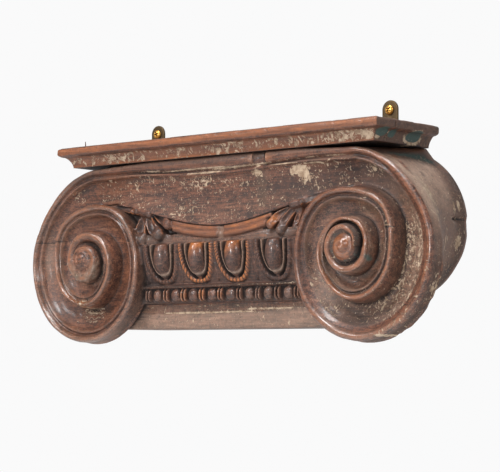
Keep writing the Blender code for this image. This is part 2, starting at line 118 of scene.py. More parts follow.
# ------------------------------------------------------------ small maths
def lattice(ix, iy, iz, seed):
    n = (ix * 374761393 + iy * 668265263 + iz * 1442695041 + seed * 974711) & 0xFFFFFFFF
    n = ((n ^ (n >> 13)) * 1274126177) & 0xFFFFFFFF
    n = ((n ^ (n >> 15)) * 2246822519) & 0xFFFFFFFF
    return ((n ^ (n >> 16)) & 0xFFFFFF) / 16777215.0


def noise(p, scale, seed=0):
    """Smooth noise from -1 to 1 at points p (n, 3); scale is cycles per metre."""
    q = p * np.asarray(scale, float)
    i = np.floor(q).astype(np.int64)
    f = q - i
    f = f * f * f * (f * (f * 6 - 15) + 10)
    total = 0.0
    for dx in (0, 1):
        wx = f[:, 0] if dx else 1 - f[:, 0]
        for dy in (0, 1):
            wy = f[:, 1] if dy else 1 - f[:, 1]
            for dz in (0, 1):
                wz = f[:, 2] if dz else 1 - f[:, 2]
                total = total + wx * wy * wz * lattice(
                    i[:, 0] + dx, i[:, 1] + dy, i[:, 2] + dz, seed)
    return total * 2 - 1


def fbm(p, scale, octaves=3, seed=0):
    scale = np.asarray(scale, float) * np.ones(3)
    total, weight = 0.0, 0.0
    for k in range(octaves):
        a = 0.55 ** k
        total = total + a * noise(p, scale * 2.03 ** k, seed + 17 * k)
        weight += a
    return total / weight


def ramp(x, low, high):
    t = np.clip((x - low) / (high - low), 0, 1)
    return t * t * (3 - 2 * t)


def catmull(values, u):
    v = np.asarray(values, float)
    n = len(v)
    u = np.clip(u, 0, n - 1)
    i = np.clip(np.floor(u).astype(int), 0, n - 2)
    f = u - i
    p1, p2 = v[i], v[i + 1]
    p0 = np.where(i > 0, v[np.maximum(i - 1, 0)], 2 * p1 - p2)
    p3 = np.where(i + 2 < n, v[np.minimum(i + 2, n - 1)], 2 * p2 - p1)
    return 0.5 * (2 * p1 + (p2 - p0) * f + (2 * p0 - 5 * p1 + 4 * p2 - p3) * f * f
                  + (3 * p1 - p0 - 3 * p2 + p3) * f ** 3)


def rim_radius(turn, left=False):
    """Outer radius of the spiral; towards the eye the left one is tighter."""
    turn = np.asarray(turn, float)
    knob = np.where(left, KNOB_LEFT, KNOB_R)
    r = np.where(left, catmull(RIM_LEFT, turn * 8), catmull(RIM_RADII, turn * 8))
    return np.where(turn > TURNS + 1e-6, knob, np.maximum(r, knob))


def rim_crest(turn):
    return RIM_PROUD + RIM_STEP * np.minimum(turn, TURNS)


def swag(x):
    u = np.minimum(1.0, np.abs(x) / EYE_X)
    return SWAG_LOW + (SWAG_HIGH - SWAG_LOW) * 0.5 * (1 - np.cos(np.pi * u))


# --------------------------------------------------------- mesh building
class Shell:
    """Vertices and faces gathered from grids that share their edges."""

    def __init__(self):
        self.points, self.faces, self.count = [], [], 0

    def add(self, x, proud, height):
        x, proud, height = np.broadcast_arrays(x, proud, height)
        p = np.stack([x, -proud, BASE + height], -1).reshape(-1, 3)
        index = np.arange(self.count, self.count + len(p)).reshape(x.shape)
        self.points.append(p)
        self.count += len(p)
        return index

    def skin(self, grid, flip=False):
        a, b, c, d = grid[:-1, :-1], grid[1:, :-1], grid[1:, 1:], grid[:-1, 1:]
        q = np.stack([a, b, c, d] if not flip else [d, c, b, a], -1).reshape(-1, 4)
        self.faces += q.tolist()

    def place(self, index):
        return np.concatenate(self.points)[index]

    def build(self, name):
        me = bpy.data.meshes.new(name)
        me.from_pydata(np.concatenate(self.points).tolist(), [], self.faces)
        bm = bmesh.new()
        bm.from_mesh(me)
        bmesh.ops.recalc_face_normals(bm, faces=bm.faces)
        bm.to_mesh(me)
        bm.free()
        ob = bpy.data.objects.new(name, me)
        work.objects.link(ob)
        return ob


# the section across the channel, row by row: share of the width and drop,
# first for the volutes, then for the middle of the canalis
SECTION = np.array((
    (0.000, 3.6, 0.000, 3.0), (0.010, 2.0, 0.012, 1.9), (0.030, 0.75, 0.036, 0.8),
    (0.058, 0.12, 0.070, 0.2), (0.088, 0.0, 0.105, 0.0), (0.118, 0.3, 0.138, 0.3),
    (0.148, 1.2, 0.166, 1.2), (0.172, 2.8, 0.186, 2.8), (0.196, 4.1, 0.202, 4.6),
    (0.222, 4.6, 0.214, 5.0), (0.248, 4.2, 0.226, 4.4), (0.270, 3.1, 0.238, 3.5),
    (0.292, 2.3, 0.250, 3.0), (0.312, 2.2, 0.262, 3.1), (0.332, 2.9, 0.274, 3.9),
    (0.352, 4.4, 0.290, 5.2), (0.382, 6.0, 0.312, 6.2), (0.430, 7.7, 0.360, 6.8),
    (0.500, 9.6, 0.450, 7.5), (0.580, 11.0, 0.560, 7.8), (0.690, 12.4, 0.690, 7.1),
    (0.800, 13.2, 0.800, 6.1), (0.890, 13.5, 0.900, 5.0), (0.955, 13.5, 0.960, 4.2),
    (1.000, 13.4, 1.000, 3.8)))
# the same rows for the innermost turns, which are a fat roll beside a narrow gap
FAT = np.array((
    (0.000, 3.4), (0.015, 2.3), (0.040, 1.45), (0.080, 0.85), (0.130, 0.40), (0.190, 0.12),
    (0.260, 0.0), (0.330, 0.05), (0.400, 0.2), (0.470, 0.5), (0.530, 0.9), (0.590, 1.5),
    (0.640, 2.2), (0.680, 3.0), (0.720, 3.9), (0.750, 4.8), (0.780, 5.6), (0.810, 6.2),
    (0.840, 6.6), (0.870, 6.9), (0.900, 7.1), (0.930, 7.2), (0.955, 7.3), (0.980, 7.35),
    (1.000, 7.4)))
FINE = np.linspace(0, len(SECTION) - 1, 2 * len(SECTION) - 1)
SEC_T, SEC_D = catmull(SECTION[:, 0], FINE), catmull(SECTION[:, 1], FINE) / 1000
MID_T, MID_D = catmull(SECTION[:, 2], FINE), catmull(SECTION[:, 3], FINE) / 1000
FAT_T, FAT_D = catmull(FAT[:, 0], FINE), catmull(FAT[:, 1], FINE) / 1000
# drops for the outer turn of the right volute, where one fat roll falls straight to the cove
ONE_D = catmull((3.6, 2.0, .75, .12, 0, .3, 1.1, 2.3, 3.4, 4.2, 4.9, 5.5, 6.0, 6.5, 6.9, 7.3,
                 7.9, 8.8, 10.1, 11.2, 12.4, 13.2, 13.5, 13.5, 13.4), FINE) / 1000


def lone(turn, right):
    """Where the roll of the right volute has no fillet beside it."""
    return ramp(np.asarray(turn, float), 0.03, 0.13) * (1 - ramp(turn, 0.66, 0.80)) * right


def ribs(turn, width, right=0):
    """Shares at which the roll ends and the raised fillet beside it ends."""
    roll = np.interp(turn, (0, 0.7, 1.2, 2.0, 3.25), (.0066, .0068, .0060, .0056, .0048))
    roll = roll + 0.0022 * lone(turn, right)
    share = np.clip(roll / np.maximum(width, 1e-4), 0.15, 0.60)
    return share, share + np.minimum(0.172 * (share / 0.178) ** 0.4, (1 - share) * 0.36)


def sections(turn, width, side):
    """Places and drops across each rib of the spiral: the roll keeps its width inward."""
    share, end = ribs(turn, width, side > 0)
    src = np.array((0, 0.178, 0.352, 1.0))
    T = np.empty((len(turn), len(SEC_T)))
    for i in range(len(turn)):
        T[i] = np.interp(SEC_T, src, (0, share[i], end[i], 1.0))
    low = np.clip(width / CHANNEL_WIDTH, 0.30, 1) ** 0.75
    high = np.clip(width / CHANNEL_WIDTH, 0.5, 1) ** 0.5
    inner = ramp(SEC_T, 0.17, 0.30)
    D = SEC_D[None] * (high[:, None] * (1 - inner)[None] + low[:, None] * inner[None])
    D = D + (ONE_D[None] * high[:, None] - D) * lone(turn, side > 0)[:, None]
    fat = ramp(turn, 1.62, 1.95)[:, None]
    deep = np.interp(turn, (1.6, 1.85, 2.05, 2.3, 2.55, 2.75, 3.25),
                     (1.0, 1.0, 0.85, 0.80, 0.62, 0.28, 0.28) if side > 0 else
                     (1.0, 1.0, 0.50, 0.22, 0.15, 0.12, 0.12))[:, None]
    T = T + (FAT_T[None] - T) * fat
    D = D + (FAT_D[None] * deep - D) * fat
    return T, D


def front_half(side):
    s = Shell()
    rows = len(FINE)
    # canalis
    x = EYE_X * np.arange(96) / 96
    if side > 0:
        x = np.unique(np.round(np.concatenate([x, np.arange(0.0440, 0.0660, 0.0007)]), 5))
    cols = len(x)
    blend = ramp(x / EYE_X, 0.5, 1.0)
    top = BODY_TOP - (BODY_TOP - EYE_Z - RIM_RADII[0]) * ramp(x / EYE_X, 0.55, 1.0)
    low = swag(x)
    t = MID_T[None] + (SEC_T - MID_T)[None] * blend[:, None]
    d = MID_D[None] + (SEC_D - MID_D)[None] * blend[:, None]
    if side > 0:      # a length of the upper roll is broken off beside an open crack
        stub = (ramp(x, 0.0470, 0.0482) * (1 - ramp(x, 0.0606, 0.0614)))[:, None]
        d = d + 0.0021 * stub * (1 - ramp(t, 0.165, 0.20))
        crack = np.exp(-((x - 0.0622) / 0.0008) ** 2)[:, None]
        d = d + 0.0034 * crack * (1 - ramp(t, 0.21, 0.24))
    field = s.add(x[:, None], RIM_PROUD - d, top[:, None] + (low - top)[:, None] * t)
    # spiral
    count = int(STEPS * TURNS)
    turn = np.arange(count + 1) / STEPS
    outer, inner = rim_radius(turn, side < 0), rim_radius(turn + 1, side < 0)
    knob_r = KNOB_R if side > 0 else KNOB_LEFT
    wobble = 0.0003 * np.sin(turn * 23.0 + side) + 0.0002 * np.sin(turn * 41.0 + 2 * side)
    width = outer - inner
    foot = np.minimum(FOOT, 0.24 * width)
    T, D = sections(turn, width, side)
    r = outer[:, None] + (inner + foot - outer)[:, None] * T
    proud = (rim_crest(turn) + wobble * ramp(turn, 0.05, 0.3))[:, None] - D
    if side < 0:      # the left spiral is rubbed away towards its eye and clogged with dirt
        gone = (0.62 * ramp(turn, 2.03, 2.35) - 0.12 * ramp(turn, 2.5, 2.8))[:, None]
        clogged = RIM_PROUD + RIM_STEP * 2.0 - 0.0010 + 0.0006 * np.sin(turn * 31)[:, None]
        proud = proud + (clogged - proud) * gone
    ang = turn * 2 * np.pi
    spiral = s.add(EYE_X + r * np.sin(ang)[:, None], proud,
                   EYE_Z + r * np.cos(ang)[:, None])
    s.skin(np.concatenate([field, spiral]))

    def wall(low_index, high_index, rows_between, hollow=1.3):
        lo, hi = s.place(low_index), s.place(high_index)
        u = (np.arange(rows_between) + 1) / (rows_between + 1)
        across = u ** 1.9
        up = 1 - (1 - u) ** 1.35
        p = np.empty((len(lo), rows_between, 3))
        p[:, :, 0] = lo[:, None, 0] + (hi - lo)[:, None, 0] * across
        p[:, :, 2] = lo[:, None, 2] + (hi - lo)[:, None, 2] * across
        p[:, :, 1] = lo[:, None, 1] + (hi - lo)[:, None, 1] * up
        return s.add(p[:, :, 0], -p[:, :, 1], p[:, :, 2] - BASE)

    last = count - STEPS
    low_index, high_index = spiral[:last + 1, -1], spiral[STEPS:, 0]
    between = wall(low_index, high_index, 8)
    s.skin(np.concatenate([low_index[:, None], between, high_index[:, None]], 1))
    # knob
    shares = np.array((1.0, 0.97, 0.90, 0.80, 0.68, 0.55, 0.42, 0.29, 0.16, 0.06))
    base = RIM_PROUD + RIM_STEP * TURNS - 0.0040
    k = np.arange(STEPS)
    a = k / STEPS * 2 * np.pi
    if side > 0:
        rise = 0.70 * (1 - shares ** 1.25) + 0.30 * np.sqrt(1 - (shares * 0.985) ** 2)
        base = base - 0.0010
        peak = KNOB_PROUD
    else:
        rise = 1 - shares ** 2.6
        peak = KNOB_PROUD - 0.0052
        base = base - 0.0015
    rise = (rise - rise[0]) / (rise[-1] - rise[0])
    rr = knob_r * shares[:, None] * np.ones(STEPS)
    swirl = np.cos(a[None] - 2 * np.pi * 1.5 * (1 - shares[:, None]) - 0.8 * side)
    swirl = swirl - 0.8 * np.clip(-swirl - 0.6, 0, 1)
    lift = (0.0015 if side > 0 else 0.0011) * swirl * np.sin(np.pi * shares)[:, None]
    rings = s.add(EYE_X + rr * np.sin(a), base + (peak - base) * rise[:, None] + lift,
                  EYE_Z + rr * np.cos(a))
    closed = np.concatenate([rings, rings[:, :1]], 1)
    s.skin(closed)
    tip = s.add(np.array([EYE_X]), np.array([peak + 0.0001]), np.array([EYE_Z]))[0]
    for j in range(STEPS):
        s.faces.append([int(rings[-1, j]), int(rings[-1, (j + 1) % STEPS]), int(tip)])
    around = np.arange(last, count + 1)
    low_index = spiral[around, -1]
    high_index = rings[0, around % STEPS]
    kw = wall(low_index, high_index, 3)
    s.skin(np.concatenate([low_index[:, None], kw, high_index[:, None]], 1))
    loop = [int(spiral[last, -1])] + between[last].tolist() + spiral[count].tolist()
    loop += kw[-1].tolist() + [int(rings[0, count % STEPS])] + kw[0][::-1].tolist()
    s.faces.append(loop)
    # outline carried back
    outline = np.concatenate([field[:, 0], spiral[:STEPS + 1, 0], between[0][::-1],
                              spiral[0, -1:], field[::-1, -1]])
    p = s.place(outline)
    n_out = cols + STEPS + 1
    level = [outline]
    tangent = np.roll(p, -1, 0) - np.roll(p, 1, 0)
    out = np.stack([tangent[:, 2], 0 * tangent[:, 0], -tangent[:, 0]], -1)
    out /= np.linalg.norm(out, axis=1)[:, None] + 1e-12
    out[0] = (0, 0, 1)
    out[-1] = (0, 0, -1)
    out[n_out - 1:n_out + len(between[0]) + 2] = 0
    along = (np.arange(len(p)) - cols) / STEPS
    share = np.clip(along / 0.15, 0, 1) * np.clip((0.74 - along) / 0.12, 0, 1)
    share = (share * (np.arange(len(p)) < n_out))[:, None]
    eye = np.array([EYE_X, 0, EYE_Z + BASE])
    arm = (p - eye) * (1, 0, 1)
    arm /= np.linalg.norm(arm, axis=1)[:, None]
    for q, grow in ((0.0785, 0.0006), (0.0760, 0.0004), (0.0730, 0.0), (0.0712, -0.0002),
                    (0.0700, -0.0007), (DISC_BACK, -0.0014), (0.0665, -0.0016), (0.0630, -0.0016),
                    (0.0595, -0.0016), (FRONT_BACK, -0.0016)):
        g = np.where(np.arange(len(p)) < n_out, grow, min(grow, 0) * 0.3)[:, None]
        g[0] = g[-1] = 0
        step = FLANK_STEP * np.clip((0.0685 - q) / (0.0685 - FRONT_BACK), 0, 1) ** 0.9
        w = p + out * g - arm * share * step
        w[:, 0] = np.maximum(w[:, 0], 0)
        w[0, 0] = w[-1, 0] = 0
        level.append(s.add(w[:, 0], q, w[:, 2] - BASE))
    s.skin(np.stack(level))
    s.faces.append(level[-1].tolist())
    return s


def whole_front():
    bm = bmesh.new()
    for side in (1, -1):
        s = front_half(side)
        pts = np.concatenate(s.points)
        pts[:, 0] *= side
        me = bpy.data.meshes.new("half")
        me.from_pydata(pts.tolist(), [], s.faces)
        bm.from_mesh(me)
        bpy.data.meshes.remove(me)
    middle = [v for v in bm.verts if abs(v.co.x) < 1e-7]
    bmesh.ops.remove_doubles(bm, verts=middle, dist=1e-6)
    bmesh.ops.recalc_face_normals(bm, faces=bm.faces)
    me = bpy.data.meshes.new("front")
    bm.to_mesh(me)
    bad = sum(1 for e in bm.edges if not e.is_manifold)
    bm.free()
    ob = bpy.data.objects.new("front", me)
    work.objects.link(ob)
    print("front", len(me.vertices), "open edges", bad)
    return ob


def bolster(side):
    s = Shell()
    table = np.array(((0.0705, 0.00), (0.0680, 0.12), (0.0640, 0.34), (0.0560, 0.55),
                      (0.0400, 0.80), (0.0200, 0.95), (0.0000, 1.00)))
    u = np.linspace(0, len(table) - 1, 31)
    prouds = np.interp(u, np.arange(len(table)), table[:, 0])
    blends = np.clip(catmull(table[:, 1], u), 0, 1)
    turn = np.unique(np.round(np.concatenate([np.linspace(0, 0.75, 121),
                                              np.linspace(0.180, 0.225, 46)]), 5))
    loops = []
    for proud, b in zip(prouds, blends):
        cx = EYE_X + (BOLSTER_X - EYE_X) * b
        cz = EYE_Z + (BOLSTER_Z - EYE_Z) * b
        front = rim_radius(turn) - 0.0022
        r = front + (BOLSTER_R - front) * b
        h = cz + r * np.cos(turn * 2 * np.pi)
        lift = 1 + (BODY_TOP - cz - r) / r * (1 - turn / 0.25) ** 2
        h = np.where(turn < 0.25, cz + (h - cz) * lift, h)
        x = cx + r * np.sin(turn * 2 * np.pi)
        if side > 0:      # an open check near the back of the right flank
            bite = np.exp(-((h - 0.1112) / 0.0011) ** 2) * float(1 - ramp(proud, 0.018, 0.030))
            x = x - 0.0030 * bite
            x = x - 0.0012 * float(1 - ramp(proud, 0.016, 0.026)) * ramp(0.1112 - h, 0.0, 0.002) \
                * (1 - ramp(0.1112 - h, 0.006, 0.016))
            x = x - 0.0014 * float(1 - 0.7 * ramp(proud, 0.015, 0.055)) * ramp(0.0840 - h, 0.0, 0.018) \
                * ramp(x, 0.150, 0.190)
        xs = np.concatenate([[-0.002], x, [-0.002]])
        hs = np.concatenate([[BODY_TOP], h, [cz]])
        loops.append(s.add(side * xs, proud, hs))
    grid = np.stack(loops)
    s.skin(np.concatenate([grid, grid[:, :1]], 1))
    s.faces.append(grid[0].tolist())
    s.faces.append(grid[-1].tolist())
    return s.build("bolster")


def relief(name, xs, hs, height, back):
    """Closed solid whose front is a relief over a grid of x and heights."""
    s = Shell()
    X, H = np.meshgrid(xs, hs, indexing="ij")
    grid = s.add(X, height(X, H), H)
    s.skin(grid)
    rim = np.concatenate([grid[:, 0], grid[-1, 1:], grid[-2::-1, -1], grid[0, -2:0:-1]])
    p = s.place(rim)
    behind = s.add(p[:, 0], back, p[:, 2] - BASE)
    both = np.stack([rim, behind])
    s.skin(np.concatenate([both, both[:, :1]], 1))
    s.faces.append(behind.tolist())
    return s.build(name)


def board_height(X, H):
    p = np.full(X.shape, BOARD_PROUD)
    p = p - 0.0012 * (1 - ramp(H, BLOCK_BOTTOM, BLOCK_BOTTOM + 0.0016)) ** 2
    pts = np.stack([X, 0 * X, H], -1).reshape(-1, 3)
    p = p + (0.0003 * fbm(pts, (9, 1, 60), 3, 5)).reshape(X.shape)
    # long check in the board
    line = 0.0283 + 0.0004 * np.sin(X * 90) + 0.0040 * ramp(X, 0.02, 0.085)
    p = p - 0.0009 * np.exp(-((H - line) / 0.0005) ** 2) * ramp(X, -0.075, -0.06)
    # the upper half standing a little proud of the lower is switched off: the term is multiplied by zero
    p = p + 0.0004 * ramp(H, -0.0004, 0.0004) * 0
    return p


BASE_LINE = np.array((
    (0.0370, 0.0640), (0.0378, 0.0650), (0.0384, 0.0690), (0.0400, 0.0710),
    (0.0420, 0.0714), (0.0510, 0.0716), (0.0526, 0.0720), (0.0532, 0.0750),
    (0.0542, 0.0764), (0.0554, 0.0763), (0.0561, 0.0746), (0.0566, 0.0722),
    (0.0585, 0.0722), (0.0620, 0.0733), (0.0720, 0.0768), (0.0820, 0.0793),
    (0.0900, 0.0806), (0.0966, 0.0811), (0.0977, 0.0806), (0.0983, 0.0736),
    (0.1390, 0.0712)))

EGG_X = (-0.0740, -0.0277, 0.0194, 0.0702)
DART_X = (-0.0965, -0.0505, -0.0042, 0.0450, 0.0935)
LOBES = {  # root, middle, tip, half width, level of the tip
    -1: (((0.1000, 0.1290), (0.1060, 0.1150), (0.1030, 0.1030), 0.0078, 0.0768),
         ((0.0950, 0.1300), (0.0925, 0.1150), (0.0780, 0.1075), 0.0072, 0.0785),
         ((0.0900, 0.1305), (0.0790, 0.1265), (0.0655, 0.1168), 0.0058, 0.0790)),
    1: (((0.1000, 0.1262), (0.0960, 0.1160), (0.0935, 0.1080), 0.0036, 0.0752),
        ((0.0975, 0.1285), (0.0850, 0.1190), (0.0785, 0.1052), 0.0052, 0.0790),
        ((0.0900, 0.1262), (0.0760, 0.1210), (0.0672, 0.1108), 0.0050, 0.0800))}
CUT_X = 0.0040
STEM = ((0.1560, 0.1405), (0.1290, 0.1378), (0.0930, 0.1290), 0.0050, 0.0775)


def lobe(X, H, root, mid, tip, half, level, scoop):
    """A scooped lobe with a raised edge that ends in a rounded, heavy tip."""
    t = np.linspace(0, 1, 30)
    px = root[0] * (1 - t) ** 2 + 2 * mid[0] * t * (1 - t) + tip[0] * t * t
    ph = root[1] * (1 - t) ** 2 + 2 * mid[1] * t * (1 - t) + tip[1] * t * t
    best = np.full(X.shape, 1e9)
    where = np.zeros(X.shape)
    for x, h, tt in zip(px, ph, t):
        d = (X - x) ** 2 + (H - h) ** 2
        near = d < best
        best = np.where(near, d, best)
        where = np.where(near, tt, where)
    d = np.sqrt(best)
    w = half * (0.62 + 0.38 * ramp(where, 0.0, 0.7))
    u = d / w
    dome = np.sqrt(np.clip(1 - u ** 2, 0, 1))
    hollow = scoop * ramp(where, 0.05, 0.30) * (1 - ramp(where, 0.62, 0.86))
    edge = np.exp(-((u - 0.78) / 0.14) ** 2)
    tall = 0.62 * dome + 0.26 * hollow * edge - 0.80 * hollow * np.exp(-(u / 0.55) ** 3)
    bulb = ramp(where, 0.70, 1.0)
    tall = tall + 0.32 * bulb * dome
    base = 0.0748 + (level - 0.0748) * where
    return np.where(u < 1, base + w * tall, 0.0)


def panel_height(X, H):
    base = np.interp(H, BASE_LINE[:, 0], BASE_LINE[:, 1])
    out = base.copy()
    rng = np.random.RandomState(11)
    A = np.abs(X)
    # bead and reel
    for k in range(8):
        cx = (k - 3.5) * BEAD_PITCH + rng.uniform(-0.0008, 0.0008)
        rx, rz = 0.0061 + rng.uniform(-6e-4, 6e-4), 0.0062 + rng.uniform(-3e-4, 3e-4)
        q = 1 - np.abs((X - cx) / rx) ** 2.2 - np.abs((H - 0.0463) / rz) ** 2.4
        out = np.where(q > 0, np.maximum(out, 0.0730 + 0.0050 * np.clip(q, 0, 1) ** 0.5), out)
    for k in range(9):
        for off in (-0.0022, 0.0017):
            cx = (k - 4) * BEAD_PITCH + off + rng.uniform(-0.0003, 0.0003)
            q = 1 - np.abs((X - cx) / 0.00145) ** 3 - np.abs((H - 0.0463) / 0.0066) ** 3
            out = np.where(q > 0, np.maximum(out, 0.0728 + 0.0053 * np.clip(q, 0, 1) ** 0.5), out)
    # echinus
    for k, cx in enumerate(EGG_X):
        dx = np.abs(X - cx)
        hh = np.clip(0.0990 - H, 0, None)
        f = ((dx / 0.0200) ** 2.5 + (hh / 0.0392) ** 2.5) ** (1 / 2.5)
        gx = np.gradient(f, X[:, 0], axis=0)
        gh = np.gradient(f, H[0, :], axis=1)
        d = (f - 1) / (np.sqrt(gx ** 2 + gh ** 2) + 1e-9)
        d = np.clip(d, -0.02, 0.02)
        theta = np.arctan2(0.0990 - H, X - cx)
        below = (H < 0.0975)
        floor_ = base - 0.0034
        out = np.where((d < -0.0014) & below,
                       np.minimum(out, base + (floor_ - base) * ramp(-d, 0.0014, 0.0030)), out)
        rope = 0.00036 * np.sin((theta + 0.4) * 0.028 / 0.0031 * 2 * np.pi)
        bulge = 1 - ((d - 0.0003) / 0.0027) ** 2
        out = np.where((bulge > 0) & below,
                       np.maximum(out, base + (0.0027 + rope) * np.sqrt(np.clip(bulge, 0, 1))), out)
        inner = 1 - ((d + 0.0066) / 0.0013) ** 2
        out = np.where((inner > 0) & below,
                       np.maximum(out, floor_ + 0.0062 * np.sqrt(np.clip(inner, 0, 1))), out)
        tall = np.where(H < 0.0775, (0.0775 - H) / 0.0165, (H - 0.0775) / 0.0268)
        q = 1 - np.abs((X - cx - 0.0004) / (0.0112 * (1 - 0.36 * ramp(0.0850 - H, 0.0, 0.024)))) ** 2.0 - tall ** 1.9
        egg = floor_ + 0.0124 * np.clip(q, 0, 1) ** 0.56
        out = np.where((q > 0) & below, np.maximum(out, egg), out)
    for cx in DART_X:
        dx = np.abs(X - cx)
        for off in (0.0017,):
            shaft = np.where((H > 0.0720) & (H < 0.0970), 1 - ((dx - off * ramp(H, 0.070, 0.080)) / 0.0008) ** 2, -1)
            out = np.where(shaft > 0, np.maximum(out, base + 0.0013 * np.sqrt(np.clip(shaft, 0, 1))), out)
        w = np.interp(H, (0.0592, 0.0605, 0.0680, 0.0745, 0.0765), (0.0002, 0.0012, 0.0034, 0.0018, 0.0010))
        head = np.where((H > 0.0592) & (H < 0.0765), 1 - dx / w, -1)
        out = np.where(head > 0, np.maximum(out, base + 0.0022 * np.clip(head, 0, 1) ** 0.8), out)
    # flat strip over the echinus, then the roll of two reeds under the lip
    strip = (H > 0.0977) & (H < 0.1075)
    out = np.where(strip, np.maximum(out, 0.0786 - 0.0010 * ramp(H, 0.1010, 0.1060)), out)
    reach = np.where(X < 0, 0.0615, 0.0680)
    end = ramp(reach - A, 0.0, 0.0035) ** 0.4
    cut = np.exp(-((X - CUT_X - 0.15 * (H - 0.107)) / 0.0032) ** 4)
    for down, rr, level in ((0.0031, 0.0029, 0.0786), (0.0091, 0.0034, 0.0786)):
        q = 1 - ((H - swag(X) + down) / rr) ** 2
        ripple = 0.0002 * np.sin(X * 260 + down * 900)
        reed = level + (0.0026 + ripple) * np.sqrt(np.clip(q, 0, 1)) * end - 0.0022 * cut
        out = np.where((q > 0) & (A < reach), np.maximum(out, reed), out)
    between = (A < reach) & (H > swag(X) - 0.0123) & (H < swag(X) + 0.001)
    out = np.where(between, np.maximum(out, 0.0780 * end + 0.0716 * (1 - end) - 0.0018 * cut), out)
    # deep pocket between the roll and each leaf
    pocket = np.exp(-(((A - 0.0640) / 0.0030) ** 2 + ((H - 0.1120) / 0.0062) ** 2))
    out = out - 0.0045 * pocket * (A > 0.0605)
    # leaves
    for side, lobes in LOBES.items():
        here = X * side > 0
        for L in lobes:
            out = np.where(here, np.maximum(out, lobe(A, H, *L, 1.0)), out)
    out = np.maximum(out, lobe(A, H, *STEM, 0.75))
    for cx, ch in ((-0.1134, 0.1317), (0.1045, 0.1298)):
        ball = 1 - ((X - cx) ** 2 + (H - ch) ** 2) / 0.0031 ** 2
        out = np.where(ball > 0, np.maximum(out, 0.0800 + 0.0031 * np.sqrt(np.clip(ball, 0, 1))), out)
    out = np.where((H > swag(X) + 0.0012), 0.0660, out)
    # sink below the volutes
    hide = ramp(A, 0.1120, 0.1128) * (1 - ramp(H, 0.1170, 0.1190))
    out = out * (1 - hide) + np.minimum(out, 0.0655) * hide
    for _ in range(1):
        soft = out.copy()
        soft[1:-1] = 0.25 * out[:-2] + 0.5 * out[1:-1] + 0.25 * out[2:]
        soft2 = soft.copy()
        soft2[:, 1:-1] = 0.25 * soft[:, :-2] + 0.5 * soft[:, 1:-1] + 0.25 * soft[:, 2:]
        out = soft2
    return out


def neck():
    s = Shell()
    low = BODY_TOP - NECK_DROP
    n = 90
    xs = np.linspace(-1, 1, n)
    rows = []
    for p in np.linspace(0, NECK_DEPTH, 20):
        top = s.add(NECK_HALF * xs, p, np.full(n, BODY_TOP))
        right = s.add(NECK_HALF + (NECK_FOOT - NECK_HALF) * np.array((0.3, 0.6, 0.85, 1.0)),
                      p, BODY_TOP - NECK_DROP * np.array((0.3, 0.6, 0.85, 1.0)))
        bottom = s.add(NECK_HALF * xs[::-1], p, np.full(n, low - 0.006))
        left = s.add(-NECK_HALF - (NECK_FOOT - NECK_HALF) * np.array((1.0, 0.85, 0.6, 0.3)),
                     p, BODY_TOP - NECK_DROP * np.array((1.0, 0.85, 0.6, 0.3)))
        rows.append(np.concatenate([top, right, bottom, left]))
    grid = np.stack(rows)
    s.skin(np.concatenate([grid, grid[:, :1]], 1))
    s.faces.append(grid[0].tolist())
    s.faces.append(grid[-1].tolist())
    return s.build("neck")


def unite(base, others):
    for ob in others:
        mod = base.modifiers.new("u", "BOOLEAN")
        mod.operation = "UNION"
        mod.solver = "MANIFOLD"
        mod.object = ob
        bpy.context.view_layer.update()
        dg = bpy.context.evaluated_depsgraph_get()
        me = bpy.data.meshes.new_from_object(base.evaluated_get(dg))
        print("union with", ob.name, "gives", len(me.vertices))
        base.modifiers.clear()
        base.data = me
    return base


import time
t0 = time.perf_counter()
step = 0.00058
px = np.concatenate([np.arange(-0.1500, -0.1130, 0.0012), np.arange(-0.1130, 0.1130, step),
                     np.arange(0.1130, 0.1501, 0.0012)])
ph = np.arange(0.0372, 0.1404, step)
body = relief("board", np.linspace(-BLOCK_HALF, BLOCK_HALF, 260),
              np.concatenate([BLOCK_BOTTOM + np.array((0, 0.0004, 0.0009, 0.0014)),
                              np.arange(0.0150, 0.0400, 0.0008), [0.138]]), board_height, 0.0)
front = whole_front()
panel = relief("panel", px, ph, panel_height, 0.0560)
pieces = [bolster(1), bolster(-1), neck(), front, panel]
print("built", round(time.perf_counter() - t0, 1))
unite(body, pieces)
print("united", round(time.perf_counter() - t0, 1), len(body.data.polygons))

# ------------------------------------------------------------- tools for wear and painted shade
def coords(me):
    a = np.empty(len(me.vertices) * 3)
    me.vertices.foreach_get("co", a)
    return a.reshape(-1, 3)


def normals(me):
    a = np.empty(len(me.vertices) * 3)
    me.vertices.foreach_get("normal", a)
    return a.reshape(-1, 3)


def set_coords(me, p):
    me.vertices.foreach_set("co", p.reshape(-1))
    me.update()


def edge_index(me):
    e = np.empty(len(me.edges) * 2, dtype=np.int64)
    me.edges.foreach_get("vertices", e)
    return e.reshape(-1, 2)


def smooth_values(v, e, rounds, share=0.5):
    n = len(v)
    deg = np.bincount(e.reshape(-1), minlength=n).astype(float)
    deg[deg == 0] = 1
    v = v.copy()
    for _ in range(rounds):
        if v.ndim == 1:
            s = np.bincount(e[:, 0], v[e[:, 1]], n) + np.bincount(e[:, 1], v[e[:, 0]], n)
            v = v + share * (s / deg - v)
        else:
            s = np.stack([np.bincount(e[:, 0], v[e[:, 1], k], n)
                          + np.bincount(e[:, 1], v[e[:, 0], k], n) for k in range(v.shape[1])], -1)
            v = v + share * (s / deg[:, None] - v)
    return v


def bend(p, n, e, rounds):
    """How far each point stands out of its smoothed neighbourhood, in mm."""
    return ((p - smooth_values(p, e, rounds)) * n).sum(1) * 1000


def directions(count):
    k = np.arange(count) + 0.5
    z = k / count
    a = np.pi * (1 + 5 ** 0.5) * k
    r = np.sqrt(1 - z * z)
    return np.stack([r * np.cos(a), r * np.sin(a), z], -1)


